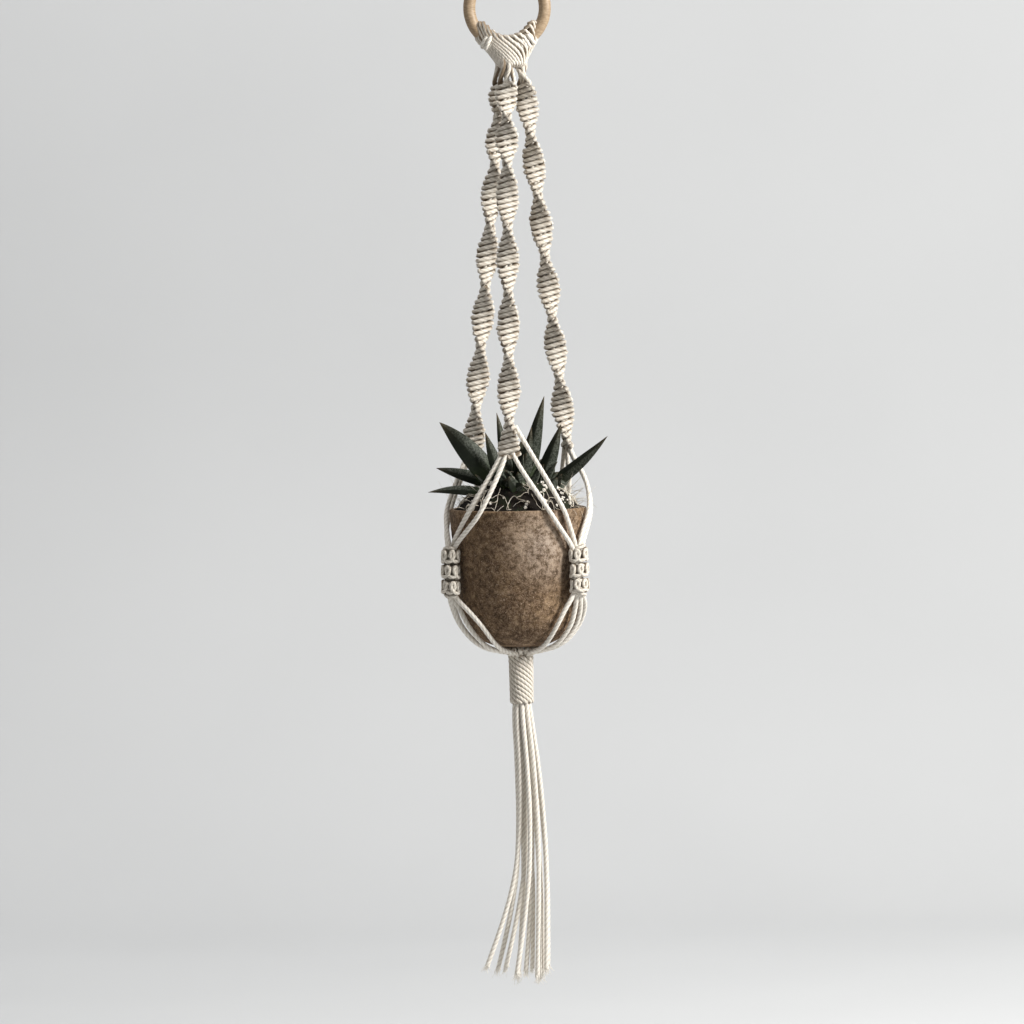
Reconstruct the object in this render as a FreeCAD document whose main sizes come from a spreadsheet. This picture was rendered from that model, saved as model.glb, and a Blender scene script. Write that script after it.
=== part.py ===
import FreeCAD, Part
import math
import os

import Sketcher
from FreeCAD import Placement, Rotation, Vector

# Hanging macrame planter.
# Frame: +Z up, millimetres, origin at the hook seat, the highest point of the ring's inner edge.
# Azimuths are measured round the vertical axis from -Y (the front), positive towards +X.

doc = FreeCAD.newDocument("macrame_planter")

SIZES = {
    # ring
    "ring_outer_diameter": 72.0,
    "ring_thickness": 10.0,
    "ring_clearance": 0.3,
    # cord, the loops over the ring and the wrap that binds them
    "cord_diameter": 4.0,
    "loops_arc": 86.0,
    "collar_top_drop": 51.4,
    "collar_bottom_drop": 72.4,
    "collar_top_width": 52.6,
    "collar_bottom_width": 25.0,
    "collar_bottom_shift": 2.5,
    "collar_top_depth": 20.0,
    "collar_bottom_depth": 17.0,
    # knotted arms
    "arm_neck_width": 7.2,
    "arm_neck_depth": 6.9,
    "arm_shoulder_drop": 88.0,
    "arm_end_radius": 46.0,
    "arm_end_drop": 391.0,
    "arm_width": 20.4,
    "arm_depth": 8.6,
    "arm_tight_above": 154.0,
    # pot
    "pot_rim_diameter": 114.0,
    "pot_height": 114.3,
    "pot_rim_drop": 437.0,
    "pot_wall": 5.0,
    "pot_floor": 6.0,
    "pot_corner_radius": 38.0,
    "pot_foot_diameter": 25.2,
    "drain_hole_diameter": 12.0,
    "soil_crown_height": 22.0,
    # side knots
    "knot_width": 17.6,
    "knot_depth": 11.0,
    "knot_length": 38.0,
    "knot_edge_radius": 3.0,
    "knot_gap": 0.5,
    "knot_wall_lean": 2.4,
    "knot_top_below_rim": 31.2,
    # gathering under the pot
    "pot_seat_gap": 0.3,
    "gather_top_radius": 15.0,
    "gather_height": 7.4,
    "gather_neck_radius": 8.5,
    "wrap_diameter": 20.8,
    "wrap_bore": 13.0,
    "wrap_length": 39.3,
    # tassel
    "head_top_radius": 5.4,
    "head_bottom_radius": 9.2,
    "head_gap": 1.0,
    "head_height": 7.0,
}

sheet = doc.addObject("Spreadsheet::Sheet", "Sizes")
for row, (alias, value) in enumerate(SIZES.items(), start=1):
    sheet.set("A%d" % row, alias)
    sheet.set("B%d" % row, str(value))
    sheet.setAlias("B%d" % row, alias)
doc.recompute()

FRONT_ARM, RIGHT_ARM, LEFT_ARM = -7.5, 112.5, -127.5
LEFT_KNOT, RIGHT_KNOT, BACK_KNOT = -67.5, 52.5, 172.5


def size(alias):
    return float(getattr(sheet, alias))


def bind(thing, **expressions):
    for name, expression in expressions.items():
        thing.setExpression(name.replace("__", "."), expression)


def polar(radius, azimuth, height):
    angle = math.radians(azimuth)
    return Vector(radius * math.sin(angle), -radius * math.cos(angle), height)


def feature(name, shape):
    """A sub-part whose shape is worked out by this script from the sheet."""
    thing = doc.addObject("Part::Feature", name)
    thing.Shape = shape
    thing.Placement = Placement()
    return thing


def new_sketch(body, name, role):
    plane = next(item for item in body.Origin.OriginFeatures if item.Role == role)
    sketch = body.newObject("Sketcher::SketchObject", name)
    sketch.AttachmentSupport = [(plane, "")]
    sketch.MapMode = "FlatFace"
    return sketch


def measure(sketch, kind, items, value, expression):
    """Adds one dimension to a sketch and binds it to the sheet."""
    index = sketch.addConstraint(Sketcher.Constraint(kind, *items, value))
    sketch.setExpression("Constraints[%d]" % index, expression)


def outline(sketch, points):
    """Closed outline of straight edges; each point is (x, y, x expression, y expression).

    An expression of None puts the point on that axis of the sketch."""
    count = len(points)
    for index, point in enumerate(points):
        following = points[(index + 1) % count]
        edge = Part.LineSegment(Vector(point[0], point[1], 0), Vector(following[0], following[1], 0))
        sketch.addGeometry(edge, False)
    for index in range(count):
        sketch.addConstraint(Sketcher.Constraint("Coincident", index, 2, (index + 1) % count, 1))
    for index, (x, y, x_rule, y_rule) in enumerate(points):
        for kind, axis, value, rule in (("DistanceX", -2, x, x_rule), ("DistanceY", -1, y, y_rule)):
            if rule is None:
                sketch.addConstraint(Sketcher.Constraint("PointOnObject", index, 1, axis))
            else:
                measure(sketch, kind, (-1, 1, index, 1), value, rule)


def turn_up(body, kind, sketch):
    """Turns a half section a full circle about the body's vertical axis."""
    turned = body.newObject("PartDesign::" + kind, "%s_%s" % (body.Name, kind.lower()))
    turned.Profile = sketch
    turned.ReferenceAxis = (sketch, ["V_Axis"])
    turned.Angle = 360


# ---------------------------------------------------------------- ring and loops

RING_RADIUS = "(Sizes.ring_outer_diameter - Sizes.ring_thickness) / 2"
RING_CENTRE = "-(Sizes.ring_outer_diameter / 2 - Sizes.ring_thickness)"
LOOP_SECTION = "Sizes.ring_thickness / 2 + Sizes.cord_diameter"


def ring_torus(name, section, arc="360", first_angle=0.0):
    """A torus round the ring's centreline, whole or from first_angle along an arc."""
    torus = doc.addObject("Part::Torus", name)
    bind(torus, Radius1=RING_RADIUS, Radius2=section, Angle3=arc)
    upright = Rotation(Vector(1, 0, 0), 90).multiply(Rotation(Vector(0, 0, 1), first_angle))
    torus.Placement = Placement(Vector(0, 0, 0), upright)
    bind(torus, Placement__Base__z=RING_CENTRE)
    return torus


def cut(name, base, tool):
    thing = doc.addObject("Part::Cut", name)
    thing.Base = base
    thing.Tool = tool
    return thing


hanging_ring = ring_torus("hanging_ring", "Sizes.ring_thickness / 2")

# The folded cords lie side by side over the ring's lowest arc, and turn freely on it.
loops_start = -90.0 - size("loops_arc") / 2
loops_outside = ring_torus("loops_outside", LOOP_SECTION, "Sizes.loops_arc", loops_start)
ring_channel = ring_torus("ring_channel", "Sizes.ring_thickness / 2 + Sizes.ring_clearance")
ring_loops = cut("ring_loops", loops_outside, ring_channel)


def collar_ellipse(name, edge, shift):
    ellipse = doc.addObject("Part::Ellipse", name)
    bind(ellipse, MajorRadius="Sizes.collar_%s_width / 2" % edge,
         MinorRadius="Sizes.collar_%s_depth / 2" % edge,
         Placement__Base__x=shift,
         Placement__Base__z="-Sizes.collar_%s_drop" % edge)
    return ellipse


# The wrap under the ring tapers towards the arms, and leans a little to the right.
collar_cone = doc.addObject("Part::Loft", "collar_cone")
collar_cone.Sections = [collar_ellipse("collar_top", "top", "0 mm"),
                        collar_ellipse("collar_bottom", "bottom", "Sizes.collar_bottom_shift")]
collar_cone.Solid = True
collar_cone.Ruled = True
collar_wrap = cut("collar_wrap", collar_cone, ring_torus("loops_space", LOOP_SECTION))

# ---------------------------------------------------------------- pot and soil

POT_FOOT = "Sizes.pot_foot_diameter / 2"
POT_RIM = "Sizes.pot_rim_diameter / 2"
POT_BOTTOM = "-(Sizes.pot_rim_drop + Sizes.pot_height)"


def cup_outline(sketch, inset, floor_rule, crown=None):
    """Half section of the pot or of what fills it: foot, corner arc, wall, lid and axis.

    inset and floor_rule are expressions; crown is the height of a domed lid, or None."""
    inside = inset is not None
    shrink = size("pot_wall") if inside else 0.0
    floor = size("pot_floor") if inside else 0.0
    foot = size("pot_foot_diameter") / 2
    corner = size("pot_corner_radius") - shrink
    rim = size("pot_rim_diameter") / 2 - shrink
    top = size("pot_height")
    centre = Vector(foot, floor + corner, 0)
    reach = Vector(rim, top, 0) - centre
    lean = math.atan2(reach.y, reach.x) - math.acos(corner / reach.Length)
    touch = centre + Vector(corner * math.cos(lean), corner * math.sin(lean), 0)
    bend_arc = Part.ArcOfCircle(Part.Circle(centre, Vector(0, 0, 1), corner), -math.pi / 2, lean)
    peak = top + (crown or 0.0)
    if crown:
        dome = (rim * rim + crown * crown) / (2 * crown)
        half = math.asin(rim / dome)
        circle = Part.Circle(Vector(0, peak - dome, 0), Vector(0, 0, 1), dome)
        lid_edge = Part.ArcOfCircle(circle, math.pi / 2 - half, math.pi / 2)
    else:
        lid_edge = Part.LineSegment(Vector(rim, top, 0), Vector(0, top, 0))
    edges = [
        Part.LineSegment(Vector(0, floor, 0), Vector(foot, floor, 0)),
        bend_arc,
        Part.LineSegment(touch, Vector(rim, top, 0)),
        lid_edge,
        Part.LineSegment(Vector(0, peak, 0), Vector(0, floor, 0)),
    ]
    base, bend, side, lid, axis = [sketch.addGeometry(edge, False) for edge in edges]
    join = Sketcher.Constraint
    for rule in (join("Horizontal", base), join("Tangent", base, 2, bend, 1),
                 join("Tangent", bend, 2, side, 1), join("Coincident", side, 2, lid, 1),
                 join("Coincident", lid, 2, axis, 1), join("Coincident", axis, 2, base, 1),
                 join("PointOnObject", base, 1, -2), join("PointOnObject", axis, 1, -2)):
        sketch.addConstraint(rule)
    inset_rule = " - " + inset if inside else ""
    measure(sketch, "DistanceX", (base, 1, base, 2), foot, POT_FOOT)
    measure(sketch, "Radius", (bend,), corner, "Sizes.pot_corner_radius" + inset_rule)
    measure(sketch, "DistanceX", (-1, 1, side, 2), rim, POT_RIM + inset_rule)
    measure(sketch, "DistanceY", (-1, 1, side, 2), top, "Sizes.pot_height")
    if inside:
        measure(sketch, "DistanceY", (-1, 1, base, 2), floor, floor_rule)
    else:
        sketch.addConstraint(join("PointOnObject", base, 2, -1))
    if crown:
        sketch.addConstraint(join("PointOnObject", lid, 3, -2))
        measure(sketch, "DistanceY", (-1, 1, axis, 1), peak,
                "Sizes.pot_height + Sizes.soil_crown_height")
    else:
        sketch.addConstraint(join("Horizontal", lid))


pot = doc.addObject("PartDesign::Body", "pot")
pot_outside = new_sketch(pot, "pot_outside", "XZ_Plane")
cup_outline(pot_outside, None, None)
turn_up(pot, "Revolution", pot_outside)
pot_inside = new_sketch(pot, "pot_inside", "XZ_Plane")
cup_outline(pot_inside, "Sizes.pot_wall", "Sizes.pot_floor")
turn_up(pot, "Groove", pot_inside)
drain = new_sketch(pot, "drain_outline", "XY_Plane")
drain_circle = Part.Circle(Vector(0, 0, 0), Vector(0, 0, 1), size("drain_hole_diameter") / 2)
drain.addGeometry(drain_circle, False)
drain.addConstraint(Sketcher.Constraint("Coincident", 0, 3, -1, 1))
measure(drain, "Diameter", (0,), size("drain_hole_diameter"), "Sizes.drain_hole_diameter")
drain_hole = pot.newObject("PartDesign::Pocket", "drain_hole")
drain_hole.Profile = drain
drain_hole.Reversed = True
bind(drain_hole, Length="Sizes.pot_floor * 2")
bind(pot, Placement__Base__z=POT_BOTTOM)

# The soil follows the pot's inner wall and is heaped above the rim.
potting_soil = doc.addObject("PartDesign::Body", "potting_soil")
soil_outline = new_sketch(potting_soil, "soil_outline", "XZ_Plane")
cup_outline(soil_outline, "Sizes.pot_wall", "Sizes.pot_floor", size("soil_crown_height"))
turn_up(potting_soil, "Revolution", soil_outline)
bind(potting_soil, Placement__Base__z=POT_BOTTOM)

# ---------------------------------------------------------------- side knots

KNOT_BOTTOM = "-(Sizes.pot_rim_drop + Sizes.knot_top_below_rim + Sizes.knot_length)"


def side_knot(name, azimuth):
    body = doc.addObject("PartDesign::Body", name)
    sketch = new_sketch(body, name + "_outline", "XY_Plane")
    half_width, half_depth = size("knot_width") / 2, size("knot_depth") / 2
    across, through = "Sizes.knot_width / 2", "Sizes.knot_depth / 2"
    outline(sketch, [
        (-half_width, -half_depth, "-" + across, "-" + through),
        (half_width, -half_depth, across, "-" + through),
        (half_width, half_depth, across, through),
        (-half_width, half_depth, "-" + across, through),
    ])
    pad = body.newObject("PartDesign::Pad", name + "_block")
    pad.Profile = sketch
    bind(pad, Length="Sizes.knot_length")
    doc.recompute()
    upright = ["Edge%d" % (number + 1) for number, edge in enumerate(pad.Shape.Edges)
               if abs(edge.Vertexes[0].Z - edge.Vertexes[-1].Z) > half_depth]
    rounded = body.newObject("PartDesign::Fillet", name + "_rounded")
    rounded.Base = (pad, upright)
    bind(rounded, Radius="Sizes.knot_edge_radius")
    body.Placement = Placement(Vector(0, 0, 0), Rotation(Vector(0, 0, 1), azimuth))
    # The wall leans in below the rim, so the knot's inner face clears it along its length.
    reach = ("(Sizes.pot_rim_diameter / 2 - Sizes.knot_wall_lean + Sizes.knot_gap"
             " + Sizes.knot_depth / 2) * %s(%g deg)")
    bind(body, Placement__Base__x=reach % ("sin", azimuth),
         Placement__Base__y="-" + reach % ("cos", azimuth),
         Placement__Base__z=KNOT_BOTTOM)
    return body


knots = [side_knot("side_knot_left", LEFT_KNOT), side_knot("side_knot_right", RIGHT_KNOT),
         side_knot("side_knot_back", BACK_KNOT)]

# ---------------------------------------------------------------- gathering and tassel head

GATHER_TOP = "(Sizes.pot_rim_drop + Sizes.pot_height + Sizes.pot_seat_gap)"
WRAP_TOP = "(%s + Sizes.gather_height)" % GATHER_TOP
HEAD_TOP = "(%s + Sizes.wrap_length + Sizes.head_gap)" % WRAP_TOP
gather_top = size("pot_rim_drop") + size("pot_height") + size("pot_seat_gap")
wrap_top = gather_top + size("gather_height")
wrap_bottom = wrap_top + size("wrap_length")

# The cords run together under the pot and down inside the wrap.
gathered_core = doc.addObject("PartDesign::Body", "gathered_core")
core_outline = new_sketch(gathered_core, "core_outline", "XZ_Plane")
core_end = wrap_bottom - size("head_height")
CORE_END = "-(%s + Sizes.wrap_length - Sizes.head_height)" % WRAP_TOP
outline(core_outline, [
    (0, -gather_top, None, "-" + GATHER_TOP),
    (size("gather_top_radius"), -gather_top, "Sizes.gather_top_radius", "-" + GATHER_TOP),
    (size("gather_neck_radius"), -wrap_top, "Sizes.gather_neck_radius", "-" + WRAP_TOP),
    (size("wrap_bore") / 2, -wrap_top, "Sizes.wrap_bore / 2", "-" + WRAP_TOP),
    (size("wrap_bore") / 2, -core_end, "Sizes.wrap_bore / 2", CORE_END),
    (0, -core_end, None, CORE_END),
])
turn_up(gathered_core, "Revolution", core_outline)


def drop_cylinder(name, radius, height, top):
    cylinder = doc.addObject("Part::Cylinder", name)
    bind(cylinder, Radius=radius, Height=height, Placement__Base__z="-(%s + %s)" % (top, height))
    return cylinder


wrap_outside = drop_cylinder("wrap_outside", "Sizes.wrap_diameter / 2", "Sizes.wrap_length", WRAP_TOP)
wrap_inside = drop_cylinder("wrap_inside", "Sizes.wrap_bore / 2", "Sizes.wrap_length", WRAP_TOP)
base_wrap = cut("base_wrap", wrap_outside, wrap_inside)

# The tassel's head stands inside the wrap's open end, with room to swing.
tassel_head = doc.addObject("Part::Cone", "tassel_head")
bind(tassel_head, Radius1="Sizes.head_bottom_radius", Radius2="Sizes.head_top_radius",
     Height="Sizes.head_height",
     Placement__Base__z="-(%s + Sizes.head_height)" % HEAD_TOP)

# ---------------------------------------------------------------- knotted arms

# Each arm: azimuth of its lower end, (x, y) of its neck and of its shoulder, height where its
# band lies across the front, height lost in half a turn, and the same in its tight top stretch.

ARMS = {
    "arm_sinnet_front": (FRONT_ARM, (-1.0, -5.5), (-1.7, -8.4), -337.8, 52.5, 38.6),
    "arm_sinnet_right": (RIGHT_ARM, (10.5, 2.5), (13.1, 4.1), -305.8, 50.4, 50.4),
    "arm_sinnet_left": (LEFT_ARM, (-6.0, 3.4), (-6.4, 5.2), -329.7, 50.6, 37.2),
}
SECTIONS_A_HALF_TURN = 9


def arm_section(place, width, depth, turn):
    ring = Part.Wire([Part.Ellipse(Vector(0, 0, 0), width / 2, depth / 2).toShape()])
    ring.Placement = Placement(place, Rotation(Vector(0, 0, 1), turn))
    return ring


def band_turn(height, across_height, half_turn, tight_half_turn):
    """Degrees from the left-to-right line to the band's width at a height."""
    tight_from = -size("arm_tight_above")
    tight = max(height - tight_from, 0.0)
    return 180.0 * ((across_height - height + tight) / half_turn - tight / tight_half_turn)


def twisted_arm(name, azimuth, neck_xy, shoulder_xy, *twist):
    """A flat band of knots that turns about its own line, with a round neck at the top."""
    neck = Vector(*neck_xy, -size("collar_bottom_drop"))
    shoulder = Vector(*shoulder_xy, -size("arm_shoulder_drop"))
    end = polar(size("arm_end_radius"), azimuth, -size("arm_end_drop"))
    steps = int(round(SECTIONS_A_HALF_TURN * (shoulder.z - end.z) / twist[1]))
    sections = [arm_section(neck, size("arm_neck_width"), size("arm_neck_depth"),
                            band_turn(shoulder.z, *twist))]
    for step in range(steps + 1):
        place = shoulder + (end - shoulder) * (step / steps)
        sections.append(arm_section(place, size("arm_width"), size("arm_depth"),
                                    band_turn(place.z, *twist)))
    return feature(name, Part.makeLoft(sections, True, True))


arms = [twisted_arm(name, *places) for name, places in ARMS.items()]

# ---------------------------------------------------------------- leaves
# Each leaf: base (radius, azimuth), middle and tip (radius, azimuth, height), widest width,
# and how far its face is turned from up to the front, from 0 to 1.

LEAVES = {
    "leaf_left_broad": ((18, -62), (42, -75, -385), (65, -75, -364.5), 19.5, 0.85),
    "leaf_left_middle": ((18, -104), (45, -92, -408), (66.5, -92, -403), 11, 0.75),
    "leaf_left_low": ((31, -58), (52, -68, -418), (75, -78, -422), 8.5, 0.7),
    "leaf_upper_left": ((7, -120), (12, -125, -390), (20, -128, -358.7), 10, 0.9),
    "leaf_front_left": ((17, -40), (27, -44, -396), (33, -50, -373.6), 11, 0.85),
    "leaf_tall": ((9, 60), (16, 56, -385), (30, 52, -344.7), 13.5, 0.9),
    "leaf_front_right": ((17, 12), (20, 24, -396), (26, 29, -370), 11, 0.85),
    "leaf_upper_right": ((19, 74), (30, 70, -396), (40, 68, -368), 13, 0.85),
    "leaf_right_long": ((24, 100), (52, 80, -404), (78.7, 72, -378.5), 11, 0.75),
    "leaf_back": ((18, 172), (34, 172, -398), (50, 172, -380), 13, 0.0),
}
LEAF_STATIONS = (0.0, 0.2, 0.45, 0.7, 0.9, 1.0)
LEAF_WIDTHS = (0.8, 0.98, 0.96, 0.66, 0.28, 0.06)
LEAF_THICKNESS = 0.34
LEAF_ROOT_DEPTH = 6.0
FRONT = Vector(0, -1, 0)
soil_crown = -size("pot_rim_drop") + size("soil_crown_height")


def leaf(name, base, middle, tip, width, front_share):
    soil_rim = size("pot_rim_diameter") / 2 - size("pot_wall")
    crown = size("soil_crown_height")
    dome = (soil_rim ** 2 + crown ** 2) / (2 * crown)
    ground = soil_crown - dome + math.sqrt(dome ** 2 - base[0] ** 2)
    start = polar(base[0], base[1], ground - LEAF_ROOT_DEPTH)
    bend, point = polar(*middle), polar(*tip)
    sections = []
    for station, share in zip(LEAF_STATIONS, LEAF_WIDTHS):
        rest = 1 - station
        place = start * rest ** 2 + bend * (2 * rest * station) + point * station ** 2
        along = (bend - start) * rest + (point - bend) * station
        level = along.cross(Vector(0, 0, 1))
        level.normalize()
        up = level.cross(along)
        up.normalize()
        side = along.cross(up * (1 - front_share) + FRONT * front_share)
        side.normalize()
        half = width / 2 * share
        ring = Part.Wire([Part.Ellipse(Vector(0, 0, 0), half, half * LEAF_THICKNESS).toShape()])
        ring.Placement = Placement(place, Rotation(side, along.cross(side), along, "XYZ"))
        sections.append(ring)
    return feature(name, Part.makeLoft(sections, True, False).cut(potting_soil.Shape))


doc.recompute()
leaves = [leaf(name, *places) for name, places in LEAVES.items()]

# ---------------------------------------------------------------- cords
# Routes as (radius, azimuth, height), from where the cord leaves to where it ends.

UPPER_ROUTES = {
    "upper_cord_front_1": [(46, -15.5, -392.4), (61.2, -40, -436), (59.4, -54, -452),
                           (60.6, -65.2, -466.2)],
    "upper_cord_front_2": [(46.4, -10.2, -392.4), (61.2, -28, -436), (59.6, -45, -453),
                           (60.6, -60.6, -466.2)],
    "upper_cord_front_3": [(46.4, -4.7, -392.4), (61.2, 24, -436), (59.6, 36, -453),
                           (60.6, 45.8, -466.2)],
    "upper_cord_front_4": [(46.8, 4.5, -376), (61.2, 37, -434), (59.5, 45, -450), (60.6, 50.2, -466.2)],
    "upper_cord_right_1": [(46.4, 110, -392.4), (58.5, 103, -414), (61.3, 87, -437), (59.8, 72, -453),
                           (60.6, 59.3, -466.2)],
    "upper_cord_right_2": [(46, 104.7, -392.4), (58, 95, -415), (61.3, 77, -437), (59.8, 64, -453),
                           (60.6, 54.7, -466.2)],
    "upper_cord_right_3": [(46.4, 115.2, -392.4), (61.2, 134, -436), (59.6, 150, -453),
                           (60.6, 165.7, -466.2)],
    "upper_cord_right_4": [(46, 120.5, -392.4), (61.2, 146, -436), (59.4, 159, -452),
                           (60.6, 170.3, -466.2)],
    "upper_cord_left_1": [(46, -119.8, -392.4), (61.2, -103, -436), (59.4, -84, -453),
                          (60.6, -69.7, -466.2)],
    "upper_cord_left_2": [(46.4, -125, -392.4), (61.2, -115, -436), (59.6, -93, -454),
                          (60.6, -74.6, -466.2)],
    "upper_cord_left_3": [(46.4, -130.3, -392.4), (61.2, -147, -436), (59.6, -164, -453),
                          (60.6, -180.7, -466.2)],
    "upper_cord_left_4": [(46, -135.6, -392.4), (61.2, -160, -436), (59.5, -174, -452),
                          (60.6, -185.3, -466.2)],
}
LOWER_ROUTES = {
    "lower_cord_left_1": [(60.6, -61.3, -508), (56.5, -50, -517.5), (51, -38, -531), (40, -33, -546),
                          (28, -30, -553.3), (17.6, -28, -555)],
    "lower_cord_left_2": [(60.6, -65.4, -508), (56.2, -61, -518.5), (50.5, -57, -533),
                          (39, -53, -547.3), (27.5, -51, -553.5), (17.6, -49, -555)],
    "lower_cord_left_3": [(60.6, -69.6, -508), (56.2, -73, -518.5), (50.5, -75, -533),
                          (39, -73, -547.3), (27.5, -70, -553.5), (17.6, -68, -555)],
    "lower_cord_left_4": [(60.6, -73.7, -508), (56.4, -84, -517.5), (50.8, -91, -532),
                          (39.5, -93, -547), (27.5, -92, -553.5), (17.6, -90, -555)],
    "lower_cord_right_1": [(60.6, 46.3, -508), (56.3, 41, -518.5), (50.6, 36, -533), (39, 33, -547.3),
                           (27.5, 31, -553.5), (17.6, 30, -555)],
    "lower_cord_right_2": [(60.6, 50.4, -508), (56.2, 54, -518.5), (50.5, 56, -533), (39, 55, -547.3),
                           (27.5, 52, -553.5), (17.6, 50, -555)],
    "lower_cord_right_3": [(60.6, 54.7, -508), (56.2, 63.5, -518.5), (50.5, 69, -533),
                           (39, 69.5, -547.3), (27.5, 68, -553.5), (17.6, 67, -555)],
    "lower_cord_right_4": [(60.6, 59.1, -508), (56.4, 74, -517.5), (50.8, 83, -532), (39.5, 87, -547),
                           (27.5, 88.5, -553.5), (17.6, 88, -555)],
    "lower_cord_back_1": [(60.6, 166.3, -508), (56.4, 153, -517.5), (50.8, 143, -532),
                          (39.5, 139, -547), (27.5, 138, -553.5), (17.6, 138.5, -555)],
    "lower_cord_back_2": [(60.6, 170.4, -508), (56.2, 166, -518.5), (50.5, 161, -533),
                          (39, 159, -547.3), (27.5, 159.5, -553.5), (17.6, 161, -555)],
    "lower_cord_back_3": [(60.6, 174.6, -508), (56.2, 179, -518.5), (50.5, 183, -533),
                          (39, 183.5, -547.3), (27.5, 182.5, -553.5), (17.6, 181, -555)],
    "lower_cord_back_4": [(60.6, 178.7, -508), (56.4, 191, -517.5), (50.8, 201, -532),
                          (39.5, 205, -547), (27.5, 206.5, -553.5), (17.6, 207, -555)],
}
# The tassel's strands hang free; their routes are (x, y, z).
TASSEL_ROUTES = {
    "tassel_cord_01": [(0, -7.1, -606.9), (3.4, -8.2, -650), (5, -9, -704), (1.5, -10, -763),
                       (-9, -11.5, -822)],
    "tassel_cord_02": [(4.6, -5.4, -606.9), (9, -6.5, -651), (11.5, -6, -706), (10.5, -7.5, -766),
                       (8, -9, -826)],
    "tassel_cord_03": [(7, -1.2, -606.9), (12.5, -1.5, -650), (17, -0.8, -704), (17.6, -3, -762),
                       (15.5, -4, -820)],
    "tassel_cord_04": [(6.1, 3.6, -606.9), (11.5, 3.8, -649), (16, 5.2, -702), (18.6, 3.5, -760),
                       (17, 6, -818)],
    "tassel_cord_05": [(2.4, 6.7, -606.9), (6.5, 8.4, -651), (11, 10, -707), (13.5, 9, -767),
                       (12, 12, -827)],
    "tassel_cord_06": [(-2.4, 6.7, -606.9), (1, 9, -650), (4.5, 11.6, -704), (6.5, 13.5, -763),
                       (4, 17, -822)],
    "tassel_cord_07": [(-6.1, 3.6, -606.9), (-3.2, 5.2, -651), (-1.2, 8, -708), (-2, 10.6, -768),
                       (-8, 13, -828)],
    "tassel_cord_08": [(-7, -1.2, -606.9), (-5, -1, -650), (-4.8, 1.4, -705), (-9, 2.8, -763),
                       (-24.5, 4.4, -820)],
    "tassel_cord_09": [(-4.6, -5.4, -606.9), (-2.8, -6, -649), (-3.4, -4.8, -702), (-11, -6, -760),
                       (-33.5, -8, -816)],
    "tassel_cord_10": [(1.3, -2.3, -606.9), (5, -2.6, -650), (6.4, -3.2, -704), (4.8, -3.4, -763),
                       (-1.5, -4, -822)],
    "tassel_cord_11": [(1.3, 2.3, -606.9), (6.2, 2.6, -651), (10.6, 2.4, -707), (11.6, 1.6, -767),
                       (9.5, 2, -827)],
    "tassel_cord_12": [(-2.6, 0, -606.9), (0.4, 1.2, -650), (2, 3.4, -704), (-2.8, 1, -761),
                       (-18, -2, -818)],
}
ROUTE_SHARE = 0.45


def cord_path(points):
    """Straight runs joined by tangent arcs as large as the runs allow; returns path and radii."""
    edges, radii, here = [], [], points[0]
    for before, corner, after in zip(points, points[1:], points[2:]):
        towards, away = (corner - before), (after - corner)
        reach = ROUTE_SHARE * min(towards.Length, away.Length)
        turn = towards.getAngle(away)
        towards.normalize()
        away.normalize()
        start, finish = corner - towards * reach, corner + away * reach
        radius = reach / math.tan(turn / 2)
        inward = (away - towards)
        inward.normalize()
        middle = corner + inward * (radius / math.cos(turn / 2) - radius)
        edges.append(Part.LineSegment(here, start).toShape())
        edges.append(Part.Arc(start, middle, finish).toShape())
        radii.append(radius)
        here = finish
    edges.append(Part.LineSegment(here, points[-1]).toShape())
    return Part.Wire(edges), radii


def cord_tube(name, points):
    path, radii = cord_path(points)
    radius = size("cord_diameter") / 2
    circle = Part.Circle(points[0], points[1] - points[0], radius)
    tube = path.makePipeShell([Part.Wire([circle.toShape()])], True, False)
    expected = math.pi * radius ** 2 * path.Length
    print("%s: length %.1f, tightest radius %.1f, volume %.4f of section times length"
          % (name, path.Length, min(radii), tube.Volume / expected))
    return feature(name, tube)


cords = [cord_tube(name, [polar(*place) for place in route])
         for name, route in {**UPPER_ROUTES, **LOWER_ROUTES}.items()]
cords += [cord_tube(name, [Vector(*place) for place in route])
          for name, route in TASSEL_ROUTES.items()]

# ---------------------------------------------------------------- checks and files

subparts = [hanging_ring, ring_loops, collar_wrap, pot, potting_soil, gathered_core, base_wrap,
            tassel_head] + knots + arms + leaves + cords
doc.recompute()
for thing in doc.Objects:
    if "Invalid" in thing.State or "Error" in thing.State:
        raise RuntimeError("%s did not build: %s" % (thing.Name, thing.State))
for thing in subparts:
    thing.Label = thing.Name
    if thing.Shape.isNull() or not thing.Shape.isValid() or thing.Shape.Volume <= 0:
        raise RuntimeError("%s has no valid solid" % thing.Name)

os.makedirs("parts", exist_ok=True)
for thing in subparts:
    thing.Shape.exportStep("parts/%s.step" % thing.Label)
print("%d sub-parts written" % len(subparts))
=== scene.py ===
import math
import random

import bpy
import numpy as np
from mathutils import Matrix, Vector, noise


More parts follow.
